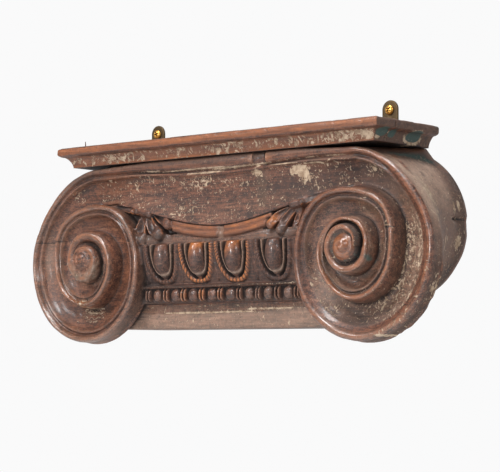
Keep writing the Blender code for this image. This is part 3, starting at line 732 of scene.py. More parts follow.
def openness(tree, p, n, count, reach):
    """Share of the sky over each point that nothing blocks within reach."""
    dirs = directions(count)
    up = np.where(np.abs(n[:, 2:3]) < 0.9, np.array([[0, 0, 1.0]]), np.array([[1.0, 0, 0]]))
    tx = np.cross(up, n)
    tx /= np.linalg.norm(tx, axis=1)[:, None] + 1e-9
    ty = np.cross(n, tx)
    out = np.empty(len(p))
    start = p + n * 0.00035
    for i in range(len(p)):
        w = dirs[:, 0:1] * tx[i] + dirs[:, 1:2] * ty[i] + dirs[:, 2:3] * n[i]
        seen, total = 0.0, 0.0
        o = start[i]
        for d, z in zip(w.tolist(), dirs[:, 2]):
            total += z
            hit = tree.ray_cast(o, d, reach)
            if hit[3] is None:
                seen += z
            else:
                seen += z * 0.6 * (hit[3] / reach) ** 2
        out[i] = seen / total
    return out


def put(me, **masks):
    for name, values in masks.items():
        a = me.attributes.new(name, "FLOAT", "POINT")
        a.data.foreach_set("value", np.clip(values, 0, 1).astype(np.float32))


def decimate(ob, faces):
    tri = sum(len(p.vertices) - 2 for p in ob.data.polygons)
    if tri <= faces:
        return tri
    mod = ob.modifiers.new("d", "DECIMATE")
    mod.ratio = faces / tri
    bpy.context.view_layer.update()
    dg = bpy.context.evaluated_depsgraph_get()
    me = bpy.data.meshes.new_from_object(ob.evaluated_get(dg))
    ob.modifiers.clear()
    ob.data = me
    return sum(len(p.vertices) - 2 for p in me.polygons)


def clean(ob):
    bm = bmesh.new()
    bm.from_mesh(ob.data)
    bmesh.ops.triangulate(bm, faces=bm.faces)
    print(ob.name, "bad edges after union", sum(1 for ed in bm.edges if not ed.is_manifold))
    seen, parts = set(), []
    for v in bm.verts:
        if v in seen:
            continue
        stack, part = [v], []
        seen.add(v)
        while stack:
            a = stack.pop()
            part.append(a)
            for ed in a.link_edges:
                b = ed.other_vert(a)
                if b not in seen:
                    seen.add(b)
                    stack.append(b)
        parts.append(part)
    parts.sort(key=len)
    for part in parts[:-1]:
        bmesh.ops.delete(bm, geom=part, context="VERTS")
    bad = sum(1 for ed in bm.edges if not ed.is_manifold)
    print(ob.name, "loose parts removed", len(parts) - 1, "bad edges", bad)
    bm.to_mesh(ob.data)
    bm.free()


# ----------------------------------------------------------------- carving
clean(body)
print("tris", decimate(body, 188000), round(time.perf_counter() - t0, 1))
me = body.data
P, N, E = coords(me), normals(me), edge_index(me)


def spiral_place(P):
    """For each point: ring number and share of the way across the channel."""
    ax, h = np.abs(P[:, 0]), P[:, 2] - BASE
    dx, dh = ax - EYE_X, h - EYE_Z
    r = np.hypot(dx, dh)
    u = (np.arctan2(dx, dh) / (2 * np.pi)) % 1.0
    ring = np.full(len(P), -1.0)
    share = np.zeros(len(P))
    for n in range(4):
        t0_, t1_ = u + n, u + n + 1
        outer, inner = rim_radius(t0_, P[:, 0] < 0), rim_radius(t1_, P[:, 0] < 0)
        inside = (r <= outer + 1e-4) & (r > inner) & (t0_ <= TURNS)
        ring = np.where(inside, t0_, ring)
        share = np.where(inside, (outer - r) / np.maximum(outer - inner, 1e-5), share)
    return ring, share, r, u


def flat(x, h):
    return np.stack([x, np.zeros_like(x), h], -1)


def displace(P, N, E):
    X, proud, H = P[:, 0], -P[:, 1], P[:, 2] - BASE
    ring, share, r, u = spiral_place(P)
    face = ramp(-N[:, 1], 0.05, 0.35) * ramp(proud, 0.058, 0.066)
    convex = np.clip(bend(P, N, E, 4) * 6, -1, 1)
    back = ramp(proud, 0.0, 0.003)
    out = np.zeros(len(P))
    # slow unevenness of handwork and finer tool marks
    out += 0.00026 * fbm(P, 38, 3, 3)
    out += 0.00010 * fbm(P, (60, 190, 190), 3, 9)
    # edges rubbed down, and little losses along them
    nick = ramp(fbm(P, 150, 2, 21), 0.18, 0.5)
    out -= 0.00018 * ramp(convex, 0.15, 0.9) * nick
    bite = ramp(noise(P, 62, 33), 0.45, 0.7)
    out -= 0.00030 * ramp(convex, 0.25, 0.9) * bite
    # lower right flank edge is knocked about
    side_edge = ramp(P[:, 0], 0.18, 0.20) * ramp(proud, 0.05, 0.064) * (1 - ramp(proud, 0.078, 0.081)) \
        * (1 - ramp(H, 0.07, 0.10))
    out -= 0.0010 * side_edge * ramp(fbm(P, 120, 2, 41), 0.0, 0.4)
    # left volute: second turn worn away at the bottom, gouge marks below it
    left = (X < 0)
    lx, lh = X + EYE_X, H - EYE_Z
    worn = left * np.exp(-((lx + 0.010) / 0.020) ** 2) * np.exp(-((lh + 0.046) / 0.009) ** 2) * face
    rough = fbm(flat(X, H), 210, 3, 51)
    out += worn * (-0.0024 + 0.0020 * rough)
    marks = left * np.exp(-((lx + 0.0075) / 0.020) ** 2) * np.exp(-((lh + 0.0560) / 0.0085) ** 2) * face
    out += marks * 0.00030 * np.sin(H * 1500 + 3.2 * fbm(flat(X, H), 75, 2, 57) + 1.5 * np.sin(X * 190))
    # dirt and old filler around the left eye
    ring_dirt = left * np.exp(-((r - 0.021) / 0.008) ** 2) * face
    out += ring_dirt * ramp(-lh, -0.012, 0.008) * (0.0018 * fbm(P, 210, 3, 61) + 0.0004)
    # joint of the two boards through the left volute and a check in the right flank
    joint = left * np.exp(-((H - 0.1048) / 0.0007) ** 2) * ramp(-X, 0.196, 0.204)
    out -= 0.0005 * joint
    check = (X > 0) * np.exp(-((H - 0.1107 - 0.0006 * np.sin(proud * 300)) / 0.0011) ** 2) \
        * (1 - ramp(proud, 0.020, 0.030)) * ramp(X, 0.19, 0.22)
    out -= 0.0030 * check
    # nick in the second ring of the right volute
    rx, rh = X - EYE_X, H - EYE_Z
    nick2 = np.exp(-(((rx - 0.042) / 0.0045) ** 2 + ((rh - 0.0168) / 0.0014) ** 2)) * face
    out -= 0.0012 * nick2
    # upright break across the canalis near the middle
    brk = np.exp(-((X - 0.0600 - 0.10 * (H - 0.165)) / 0.0011) ** 2) * ramp(H, 0.156, 0.160) * face
    out -= 0.0010 * brk
    out *= back
    return P + N * out[:, None]


rr_, uu_ = np.hypot(np.abs(P[:, 0]) - EYE_X, P[:, 2] - BASE - EYE_Z), -P[:, 1]
step_zone = ramp(uu_, 0.050, 0.058) * (1 - ramp(uu_, 0.0745, 0.0775)) * (rr_ > 0.055) \
    * ramp(np.abs(P[:, 0]), 0.150, 0.165) * ramp(P[:, 2] - BASE, 0.060, 0.085)
P = P + (smooth_values(P, E, 14) - P) * step_zone[:, None]
P = displace(P, N, E)
P[:, 1] = np.minimum(P[:, 1], 0.0)
P[:, 2] = np.minimum(P[:, 2], BASE + BODY_TOP)
set_coords(me, P)
N = normals(me)
print("displaced", round(time.perf_counter() - t0, 1))

# ------------------------------------------------------------ abacus boards


def board(name, low, high, front_edge):
    """Moulded board between two prouds; the front one is moulded on three sides."""
    prof = np.array(((0, .0026), (.0003, .0016), (.0009, .0008), (.0018, .0002), (.0028, 0),
                     (.0045, 0), (.0062, 0), (.0072, .0003), (.0080, .0009), (.0086, .0018),
                     (.0091, .0029), (.0094, .0044), (.0098, .0062), (.0107, .0075),
                     (.0120, .0088), (.0135, .0098), (.0150, .0106), (.0165, .0113),
                     (.0180, .0118), (.0192, .0121), (.0202, .0122)))
    half = ABACUS_LENGTH / 2
    s = Shell()
    nside = 24 if front_edge else 44
    nfront = 330
    levels = []
    for down, inset in prof:
        reach = half - inset
        tip = high - inset if front_edge else high
        side = low + (tip - low) * np.linspace(0, 1, nside + 1)[:-1]
        xs = np.linspace(-reach, reach, nfront)
        x = np.concatenate([np.full(nside, -reach), xs, np.full(nside, reach), xs[::-1][1:-1]])
        q = np.concatenate([side, np.full(nfront, tip), side[::-1], np.full(nfront - 2, low)])
        levels.append(s.add(x, q, np.full(len(x), ABACUS_TOP - down)))
    grid = np.stack(levels)
    s.skin(np.concatenate([grid, grid[:, :1]], 1))
    for lv, z in ((grid[0], 0), (grid[-1], 1)):
        left = np.concatenate([lv[:nside], lv[nside:nside + 1]])
        right = np.concatenate([lv[nside + nfront - 1:nside + nfront - 1 + 1],
                                lv[nside + nfront:nside + nfront + nside]])[::-1]
        frontrow = lv[nside:nside + nfront]
        backrow = np.concatenate([lv[:1], lv[nside + nfront + nside:][::-1],
                                  lv[nside + nfront + nside - 1:nside + nfront + nside]])
        a, b = s.place(backrow), s.place(frontrow)
        m = nside - 1
        u = (np.arange(m) + 1) / nside
        inner = a[None, :, :] + (b - a)[None] * u[:, None, None]
        idx = s.add(inner[:, 1:-1, 0], -inner[:, 1:-1, 1], inner[:, 1:-1, 2] - BASE)
        mid = np.concatenate([left[1:-1, None], idx, right[1:-1, None]], 1)
        s.skin(np.concatenate([backrow[None], mid, frontrow[None]]))
    ob = s.build(name)
    bm = bmesh.new()
    bm.from_mesh(ob.data)
    print(name, "open edges", sum(1 for ed in bm.edges if not ed.is_manifold), len(bm.faces))
    bm.free()
    return ob


def wear_board(ob, front_edge, seed):
    me = ob.data
    P, N, E = coords(me), normals(me), edge_index(me)
    convex = np.clip(bend(P, N, E, 3) * 6, -1, 1)
    out = 0.00022 * fbm(P, (14, 60, 60), 3, seed) + 0.00008 * fbm(P, (30, 300, 300), 2, seed + 1)
    out -= 0.0004 * ramp(convex, 0.15, 0.8) * ramp(fbm(P, (90, 120, 120), 2, seed + 5), 0.12, 0.5)
    out -= 0.0007 * ramp(convex, 0.3, 0.9) * ramp(noise(P, (36, 50, 50), seed + 6), 0.5, 0.75)
    inside = (-P[:, 1] > ABACUS_SEAM - 0.0006) & (-P[:, 1] < ABACUS_SEAM + 0.0006)
    low = P[:, 2] - BASE < ABACUS_TOP - ABACUS_THICK + 1e-5
    out = np.minimum(out, 0.00025)
    Q = P + N * out[:, None]
    Q[inside, 1] = P[inside, 1]
    Q[P[:, 1] > -1e-5, 1] = 0
    Q[low, 2] = P[low, 2]
    Q[:, 2] = np.minimum(Q[:, 2], BASE + ABACUS_TOP)
    set_coords(me, Q)


front_board = board("abacus_front_moulding", ABACUS_SEAM + GAP / 2, ABACUS_DEPTH, True)
back_board = board("abacus_back_moulding", 0.0, ABACUS_SEAM - GAP / 2, False)


def prism(name, outline, back, front, bevel, hole=None, segments=48):
    """Flat plate of an outline in x and height, with softened front edges."""
    s = Shell()
    pts = np.array(outline)
    n = len(pts)
    tang = np.roll(pts, -1, 0) - np.roll(pts, 1, 0)
    out = np.stack([tang[:, 1], -tang[:, 0]], -1)
    out /= np.linalg.norm(out, axis=1)[:, None]
    if np.sum(out * (pts - pts.mean(0))) < 0:
        out = -out
    levels = []
    for grow, q in ((-bevel * 0.3, back), (0, back + bevel * 0.3), (0, front - bevel),
                    (-bevel * 0.3, front - bevel * 0.3), (-bevel, front)):
        w = pts + out * grow
        levels.append(s.add(w[:, 0], q, w[:, 1]))
    grid = np.stack(levels)
    s.skin(np.concatenate([grid, grid[:, :1]], 1))
    if hole:
        cx, ch, r = hole
        ang = np.arctan2(pts[:, 1] - ch, pts[:, 0] - cx)
        rows = []
        for rr, q in ((r, back), (r, front - 0.0004), (r + 0.0003, front)):
            rows.append(s.add(cx + rr * np.cos(ang), q, ch + rr * np.sin(ang)))
        inner = np.stack(rows)
        s.skin(np.concatenate([inner, inner[:, :1]], 1))
        a, b = s.place(levels[-1]), s.place(rows[-1])
        bands = [levels[-1]]
        for u in (0.25, 0.5, 0.75):
            w = a + (b - a) * u
            bands.append(s.add(w[:, 0], -w[:, 1], w[:, 2] - BASE))
        bands.append(rows[-1])
        face = np.stack(bands)
        s.skin(np.concatenate([face, face[:, :1]], 1))
        rear = np.stack([levels[0], rows[0]])
        s.skin(np.concatenate([rear, rear[:, :1]], 1))
    else:
        s.faces.append(levels[0].tolist())
        s.faces.append(levels[-1].tolist())
    return s.build(name)


def plate_points(x, grow, steps=26):
    w = PLATE_W / 2 + grow
    top = ABACUS_TOP + PLATE_TOP + grow
    low = ABACUS_TOP - PLATE_TAIL - grow
    pts = [(x - w, h) for h in np.linspace(low, top - w, 16)[:-1]]
    pts += [(x + w * math.cos(a), top - w + w * math.sin(a))
            for a in np.linspace(math.pi, 0, 2 * steps)]
    pts += [(x + w, h) for h in np.linspace(top - w, low, 16)[1:]]
    pts += [(v, low) for v in np.linspace(x + w, x - w, 12)[1:-1]]
    return pts


def screw(name, x, turn):
    h = ABACUS_TOP + SCREW_UP
    s = Shell()
    seg = 96
    a = np.arange(seg) / seg * 2 * np.pi
    seat = PLATE_T + GAP
    prof = [(SCREW_SHANK_R * 0.7, 0.0), (SCREW_SHANK_R, 0.0003), (SCREW_SHANK_R, seat)]
    prof += [(SCREW_HEAD_R - 0.0003, seat), (SCREW_HEAD_R, seat + 0.0002),
             (SCREW_HEAD_R, seat + 0.0007)]
    for u in np.linspace(0, 1, 26)[1:]:
        r = SCREW_HEAD_R * math.cos(u * math.pi / 2)
        prof.append((max(r, 0.00012), seat + 0.0007 + (SCREW_HEAD_H - 0.0007) * math.sin(u * math.pi / 2)))
    rows = []
    for r, q in prof:
        dx, dh = r * np.cos(a), r * np.sin(a)
        depth = np.full(seg, q)
        if q > seat + 0.0008:
            for k in (0, 1):
                t = turn + k * math.pi / 2
                lx = dx * math.cos(t) + dh * math.sin(t)
                lh = -dx * math.sin(t) + dh * math.cos(t)
                cut = ramp(0.00075 - np.abs(lh), 0, 0.00025) * ramp(0.0028 - np.abs(lx), 0, 0.0005)
                depth = np.minimum(depth, q + (seat + 0.0009 - q) * cut)
        rows.append(s.add(x + dx, depth, h + dh))
    grid = np.stack(rows)
    s.skin(np.concatenate([grid, grid[:, :1]], 1))
    s.faces.append(grid[0].tolist())
    s.faces.append(grid[-1].tolist())
    return s.build(name)


def pin():
    s = Shell()
    seg = 20
    a = np.arange(seg) / seg * 2 * np.pi
    rows = []
    for u in np.linspace(0, 1, 40):
        hgt = ABACUS_TOP - 0.0060 + 0.0112 * u
        up = max(0.0, (u - 0.55) / 0.45)
        cx = NAIL_X - 0.0007 * up ** 2
        cq = NAIL_PROUD - 0.0003 * up ** 2
        r = 0.00058 * (1 - 0.35 * up) * (0.55 if u in (0.0, 1.0) else 1)
        rows.append(s.add(cx + r * np.cos(a), cq + r * np.sin(a), np.full(seg, hgt)))
    grid = np.stack(rows)
    s.skin(np.concatenate([grid, grid[:, :1]], 1))
    s.faces.append(grid[0].tolist())
    s.faces.append(grid[-1].tolist())
    return s.build("abacus_pin_bent")


def cut(ob, tool):
    mod = ob.modifiers.new("c", "BOOLEAN")
    mod.operation = "DIFFERENCE"
    mod.solver = "MANIFOLD"
    mod.object = tool
    bpy.context.view_layer.update()
    dg = bpy.context.evaluated_depsgraph_get()
    me = bpy.data.meshes.new_from_object(ob.evaluated_get(dg))
    ob.modifiers.clear()
    ob.data = me
    bpy.data.objects.remove(tool)


wear_board(front_board, True, 71)
wear_board(back_board, False, 83)
plates, screws = {}, {}
for word, x in PLATE_X.items():
    cut(back_board, prism("pocket", plate_points(x, GAP), -0.002, PLATE_T + GAP, 0.0001))
    plates[word] = prism("hanger_plate_cast_" + word, plate_points(x, 0), 0.0, PLATE_T, 0.0005,
                         hole=(x, ABACUS_TOP + SCREW_UP, SCREW_SHANK_R + GAP))
    screws[word] = screw("hanger_screw_cross_" + word, x, math.radians(20 if word == "left" else 52))
s = Shell()
a = np.arange(24) / 24 * 2 * np.pi
rows = np.stack([s.add(NAIL_X + 0.00088 * np.cos(a), NAIL_PROUD + 0.00088 * np.sin(a),
                       np.full(24, ABACUS_TOP + v)) for v in (-0.0063, 0.003)])
s.skin(np.concatenate([rows, rows[:, :1]], 1))
s.faces.append(rows[0].tolist())
s.faces.append(rows[1].tolist())
cut(front_board, s.build("pin_hole"))
nail = pin()
body.name = "capital_carving"
print("small pieces", round(time.perf_counter() - t0, 1))

# ------------------------------------------------- where the surface is worn and stained, and where shade and highlights are painted
RAYS = 20


def tree_of(objects):
    pts, polys, base = [], [], 0
    for ob in objects:
        me = ob.data
        pts += [v.co.copy() for v in me.vertices]
        polys += [[base + i for i in p.vertices] for p in me.polygons]
        base = len(pts)
    return BVHTree.FromPolygons(pts, polys)


tree = tree_of([body, front_board, back_board] + list(plates.values()))
print("tree", round(time.perf_counter() - t0, 1))


def surface(ob):
    me = ob.data
    P, N, E = coords(me), normals(me), edge_index(me)
    near = openness(tree, P, N, RAYS, 0.013)
    near = smooth_values(near, E, 2)
    tight = bend(P, N, E, 3)
    wide = bend(P, N, E, 16)
    return P, N, E, near, tight, wide


def blob(x, h, cx, ch, rx, rh, power=2.0):
    return np.exp(-(np.abs((x - cx) / rx) ** power + np.abs((h - ch) / rh) ** power))


P, N, E, near, tight, wide = surface(body)
print("surface", round(time.perf_counter() - t0, 1), "near", np.percentile(near, (5, 25, 50, 75, 95)).round(2),
      "tight", np.percentile(tight, (2, 50, 98)).round(3), "wide", np.percentile(wide, (2, 50, 98)).round(3))
X, Q, H = P[:, 0], -P[:, 1], P[:, 2] - BASE
A = np.abs(X)
ring, share, R, U = spiral_place(P)
face = ramp(-N[:, 1], -0.1, 0.25) * ramp(Q, 0.056, 0.066)
side_zone = (Q < 0.0772) * (ring >= 0) * (ring < 1) * (share < 0.22)
face = face * (1 - side_zone)
left, right = X < 0, X > 0
top_line = BODY_TOP - (BODY_TOP - EYE_Z - RIM_RADII[0]) * ramp(A / EYE_X, 0.55, 1.0)
across = (top_line - H) / (top_line - swag(X))
in_field = (ring < 0) * (A < EYE_X) * face * ramp(across, 0.22, 0.28) * (H > swag(X) + 0.0015)
in_channel = (ring >= 0) * ramp(share, 0.32, 0.40) * (1 - ramp(share, 0.92, 1.0)) * face
flank = (1 - face) * (Q > 0.003)
mid = (A < 0.1185) * face * (H > 0.0370) * (H < swag(X) - 0.0008) * (ring < 0)
base_line = np.interp(H, BASE_LINE[:, 0], BASE_LINE[:, 1])
rel = Q - base_line
slow = fbm(P, 60, 2, 101)
quick_n = fbm(P, 260, 2, 103)

# wear: rubbed convex edges, kept where the surface is open; in the material its strongest part is also a pale painted
# sheen
wear = ramp(tight, 0.10, 0.50) * 0.55 + ramp(wide, 0.45, 1.9) * 0.55
wear *= 0.30 + 0.70 * near
wear *= 1 - 0.80 * flank
lip = ramp(swag(X) + 0.0060 - H, 0.0, 0.004) * (H > swag(X) - 0.001) * (A < 0.14) * face * (ring < 0)
wear *= 1 - 0.85 * lip
low_edge = face * (H < 0.037) * (A < 0.135)
wear *= 1 - 0.6 * low_edge
# dirt: darker where little sky is open and in tight creases, which is painted shade of the hollows together with
# grime
dirt = (1 - ramp(near, 0.30, 0.88)) * 0.9 + ramp(-tight, 0.10, 0.45) * 0.30

width_at = rim_radius(np.clip(ring, 0, TURNS), left) - rim_radius(np.clip(ring, 0, TURNS) + 1, left)
alone = lone(np.clip(ring, 0, TURNS), right)
roll_end, rib_end = ribs(np.clip(ring, 0, TURNS), width_at, right)
fillet_at = roll_end + (rib_end - roll_end) * 0.76
groove_at = roll_end + (rib_end - roll_end) * 0.25
on = (ring >= 0) * (ring < 1.7) * face * (1 - alone)
fillet_line = on * np.exp(-((share - fillet_at) * width_at / 0.0010) ** 2)
fillet_line = np.maximum(fillet_line, (ring < 0) * (A < EYE_X) * face
                         * np.exp(-((across - 0.255) * (top_line - swag(X)) / 0.0010) ** 2) * ramp(A, 0.06, 0.14))
groove_line = on * np.exp(-((share - groove_at) * width_at / 0.0014) ** 2)
# worn brown crests: rims of both volutes, outer roll less on the left
crest = np.exp(-((share - 0.5 * roll_end) * width_at / 0.0030) ** 2) * (ring >= 0) * face
crest = np.maximum(crest, (ring >= 1.0) * (ring < 3.2) * face * ramp(wide, 0.3, 1.4))
warm = crest * (0.50 + 0.22 * (ring > 1) + 0.12 * right)
roll_top = np.exp(-((across - 0.125) / 0.040) ** 2) * (ring < 0) * (A < EYE_X) * face
warm = np.maximum(warm, 0.50 * roll_top)
# shade_top: painted shadow of the abacus on the top of the canalis (dark), with a painted cool reflection on it in
# grey and green
shade_top = (1 - ramp(across, 0.07, 0.12)) * (ring < 0) * (A < EYE_X) * (Q > 0.07) * (1 - 0.5 * ramp(X, 0.10, 0.16))
warm = np.maximum(warm, 0.36 * left * face * (ring >= 0))
knob_zone = (R < np.where(left, KNOB_LEFT, KNOB_R) * 1.02) * face
warm = np.maximum(warm, knob_zone * np.where(left, 0.55, 0.80) * (0.6 + 0.6 * ramp(EYE_X * np.sign(X) - X, -0.006, 0.006)))
warm = np.maximum(warm, 0.45 * fillet_line)
dark = 0.22 * shade_top
grey = 0.12 + 0.55 * shade_top
dirt *= 1 - 0.55 * shade_top
gloss = 0.30 + 0.30 * left * face * (ring >= 0) + 0.80 * crest
gloss = np.where(in_field > 0, 0.0, gloss)
warm = warm * (0.86 + 0.30 * slow)
# pale along the fillets is a painted highlight on their crests
pale = (0.30 + 0.20 * right) * fillet_line
dark = np.maximum(dark, 0.40 * groove_line * right)
cream = 0.03 + 0 * X
green = 0.30 * shade_top

# eggs: the two middle ones are rubbed bright, the outer ones stay dull
eggs = (H > 0.0580) * (H < 0.0980) * mid
rope = 0.0 * X
tick = 0.0 * X
dark = np.maximum(dark, 0.55 * eggs)
ground = eggs * (1 - ramp(rel, 0.0002, 0.0012))
dark = np.maximum(dark, 0.68 * ground)
green = np.maximum(green, 0.24 * ground)
grey = np.maximum(grey, 0.35 * eggs * ramp(-rel, -0.0012, 0.0002))
for k, (cx, band_w, egg_w) in enumerate(zip(EGG_X, (0.45, 1.0, 0.95, 0.12), (0.40, 0.95, 0.90, 0.22))):
    hh = np.clip(0.0990 - H, 0, None)
    f = ((np.abs(X - cx) / 0.0200) ** 2.5 + (hh / 0.0392) ** 2.5) ** 0.4
    near_egg = eggs * (np.abs(X - cx) < 0.0236)
    band = near_egg * np.exp(-((f - 1.01) / 0.12) ** 2) * ramp(rel, 0.0004, 0.0016)
    egg = near_egg * (1 - ramp(f, 0.56, 0.66))
    theta = np.arctan2(0.0990 - H, X - cx)
    rope = np.maximum(rope, near_egg * np.exp(-((f - 1.01) / 0.11) ** 2) * ramp(rel, 0.0002, 0.0012) * (0.35 + 0.65 * band_w))
    tick = np.where(near_egg > 0, np.clip((theta + 0.4) * 0.028 / 0.0031 / 64, 0, 1), tick)
    fx, fh = (np.abs(X - cx) / 0.0200) ** 1.5 / 0.0200, (hh / 0.0392) ** 1.5 / 0.0392
    inside = (f - 1) / (np.clip(f, 0.05, None) ** -1.5 * np.sqrt(fx ** 2 + fh ** 2) + 1e-9)
    # the inner ridge round each egg gets grey and pale as a painted highlight along it
    ridge = near_egg * np.exp(-((inside + 0.0066) / 0.0012) ** 2)
    dark = dark * (1 - 0.8 * ridge)
    grey = np.maximum(grey, 0.9 * ridge)
    pale = np.maximum(pale, 0.80 * ridge)
    # orange laid on the upper left of each egg, the side the light falls on: worn colour placed as painted light,
    # with the rest of the egg left dark as painted shade
    top = egg * ramp(H + 0.50 * (cx - X), 0.0770, 0.0920)
    warm = np.maximum(warm, band_w * band)
    warm = np.maximum(warm, egg_w * top)
    dark = dark * (1 - 0.9 * band * band_w) * (1 - 0.85 * top * egg_w)
    gloss = np.maximum(gloss, 0.9 * egg)
# bead row
beads = (H > 0.0385) * (H < 0.0530) * mid
shine = np.exp(-np.abs((X + 0.030) / 0.048) ** 4)
warm = np.maximum(warm, beads * ramp(tight, 0.05, 0.30) * (0.15 + 0.80 * shine))
gloss = np.maximum(gloss, 0.7 * beads)
bead_rims = beads * ramp(tight, 0.05, 0.30) * shine
dark = np.maximum(dark, beads * (0.22 + 0.55 * (1 - ramp(rel, 0.0010, 0.0050)))) * (1 - 0.7 * bead_rims)
grey = np.maximum(grey, beads * (1 - shine) * 0.5)
# roll
roll = mid * (H > swag(X) - 0.0128) * (A < 0.070)
bright = ramp(X, -0.062, -0.050) * (1 - 0.95 * np.exp(-((X - CUT_X) / 0.0046) ** 4))
warm = np.maximum(warm, roll * (0.40 + 0.52 * bright * ramp(rel, 0.006, 0.0090)))
dark = np.maximum(dark, roll * (0.12 + 0.40 * ramp(swag(X) - 0.0088 - H, 0.0, 0.0022)))
grey = np.maximum(grey, roll * 1.0 * np.exp(-((X - CUT_X) / 0.0040) ** 4))
pale = np.maximum(pale, roll * 0.4 * np.exp(-((X - CUT_X) / 0.0040) ** 4))
strip = mid * (H > 0.0980) * (H < 0.1075) * (1 - roll)
grey = np.maximum(grey, 0.55 * strip)
# leaves
leaf = mid * (A > 0.0605) * (H > 0.0990) * (1 - roll) * ramp(rel, 0.0030, 0.0042)
leaf = np.maximum(leaf, face * (ring < 0) * (A > 0.112) * (H > 0.1180) * (H < swag(X) - 0.0005))
dark = np.maximum(dark, 0.55 * leaf)
rims = leaf * ramp(tight, 0.05, 0.26)
warm = np.maximum(warm, rims * 0.95)
dark = dark * (1 - 0.85 * rims)
grey = np.maximum(grey, leaf * ramp(-tight, 0.0, 0.20) * 0.8)
warm = np.maximum(warm, leaf * right * blob(X, H, 0.0700, 0.1150, 0.008, 0.010, 3) * 0.98)
dark = dark * (1 - 0.7 * leaf * right * blob(X, H, 0.0700, 0.1150, 0.008, 0.010, 3))
gloss = np.maximum(gloss, 0.9 * leaf)
warm = np.maximum(warm, left * blob(X, H, -0.150, 0.1395, 0.030, 0.006) * face * 0.6)

# the plain frieze under the echinus
under = face * (H < 0.0372) * (Q < 0.0668)
split = 0.0283 + 0.0004 * np.sin(X * 90) + 0.0040 * ramp(X, 0.02, 0.085)
below = under * (H < split)
pale = np.maximum(pale, 0.50 * below)
grey = np.maximum(grey, under * np.where(H < split, 0.45, 0.70))
dark = np.maximum(dark, 0.10 * under)
gloss = np.where(under > 0, 0.05, gloss)
cream = np.maximum(cream, 0.42 * under * blob(X, H, 0.0, 0.0300, 0.09, 0.0035))
cream = np.maximum(cream, 0.24 * under)

# canalis
warm = np.maximum(warm, in_field * 0.40 * ramp(-X, 0.060, 0.120) * ramp(H, 0.140, 0.155))
grey = np.maximum(grey, in_field * (0.12 + 0.22 * ramp(across, 0.45, 0.85) + 0.10 * ramp(X, -0.02, 0.06)))
dark = np.maximum(dark, in_field * (0.20 + 0.48 * ramp(X, 0.05, 0.10) * ramp(across, 0.25, 0.5)))
roll_zone = (ring < 0) * (A < EYE_X) * face * (1 - ramp(across, 0.19, 0.23))
# painted shadow of the abacus on the top roll, from the left to the middle
dark = np.maximum(dark, 0.40 * roll_zone * (1 - ramp(X, 0.040, 0.060)) * ramp(X, -0.150, -0.110))
warm = np.maximum(warm, 0.30 * roll_zone)
warm = warm * (1 - 0.7 * roll_zone * (X > 0.0470) * (X < 0.0615))
groove = np.exp(-((across - 0.190) / 0.018) ** 2) * (ring < 0) * (A < EYE_X) * face
streak = ramp(np.sin(X * 47 + 0.6) + 0.6 * np.sin(X * 131), -0.4, 0.5)
cream = np.maximum(cream, groove * (0.45 + 0.55 * streak) * ramp(X, -0.13, -0.07) * (1 - ramp(X, 0.150, 0.165)) * 1.0)
spots = ((-0.0250, 0.1570, 0.030, 0.0085, 0.62), (-0.0650, 0.1600, 0.016, 0.0060, 0.55),
         (-0.1127, 0.1642, 0.012, 0.0070, 0.42), (-0.1951, 0.1536, 0.012, 0.0120, 0.50),
         (-0.0440, 0.1310, 0.042, 0.0080, 0.52), (0.1870, 0.1574, 0.016, 0.0090, 0.60),
         (0.0700, 0.1480, 0.012, 0.0050, 0.42), (0.0993, 0.1605, 0.0125, 0.0050, 1.15),
         (0.1060, 0.1530, 0.0100, 0.0060, 0.85), (0.0494, 0.1674, 0.0034, 0.0026, 1.5),
         (0.0482, 0.1606, 0.0044, 0.0028, 1.5), (0.1300, 0.1640, 0.020, 0.0030, 0.60),
         (-0.1400, 0.1600, 0.020, 0.0050, 0.40), (0.0100, 0.1560, 0.012, 0.0040, 0.45),
         (0.0980, 0.1340, 0.020, 0.0060, 0.30))
for cx, ch, rx, rh, amount in spots:
    cream = np.maximum(cream, 0.85 * amount * blob(X, H, cx, ch, rx * 1.15, rh * 1.15, 2.6) * (in_field + in_channel > 0.3))
cream = np.maximum(cream, (0.29 + 0.12 * slow) * in_field)
stub = ramp(X, 0.0462, 0.0476) * (1 - ramp(X, 0.0612, 0.0620)) * face * (ring < 0) * (1 - ramp(across, 0.17, 0.21))
warm = warm * (1 - 0.85 * stub)
dark = np.maximum(dark, 0.50 * stub)
stain = np.exp(-(np.abs(X - 0.0535 - 0.12 * (0.150 - H)) / 0.0062) ** 4) * ramp(H, 0.122, 0.134) * (1 - ramp(H, 0.163, 0.168)) * in_field
grey = np.maximum(grey, 1.0 * stain)
green = np.maximum(green, 0.26 * stain)
dark = np.maximum(dark, 0.58 * stain)

# outer channel of the right volute: mottled with remains of ground, with painted shade and highlights in places
lc0 = in_channel * left * (ring < 1)
rc = in_channel * right * (ring < 1.05)
side_part = ramp(U, 0.10, 0.22) * (1 - ramp(U, 0.62, 0.75))
cream = np.maximum(cream, rc * (0.20 + 0.30 * side_part * (1 - 0.5 * ramp(U, 0.40, 0.50)) + 0.14 * slow))
cream = np.maximum(cream, rc * 0.62 * np.exp(-((share - 0.36) / 0.10) ** 2) * ramp(U, 0.12, 0.2) * (1 - ramp(U, 0.45, 0.55)))
cream = np.maximum(cream, rc * 0.52 * blob(X, H, 0.2120, 0.0520, 0.014, 0.018))
grey = np.maximum(grey, rc * (0.40 + 0.2 * side_part))
pale = np.maximum(pale, rc * (0.16 * side_part + 0.30 * blob(X, H, 0.2100, 0.1400, 0.022, 0.018)))
# painted soft highlight on the left side of the left volute's outer channel
pale = np.maximum(pale, 0.50 * lc0 * blob(X, H, -0.2420, 0.0900, 0.012, 0.030))
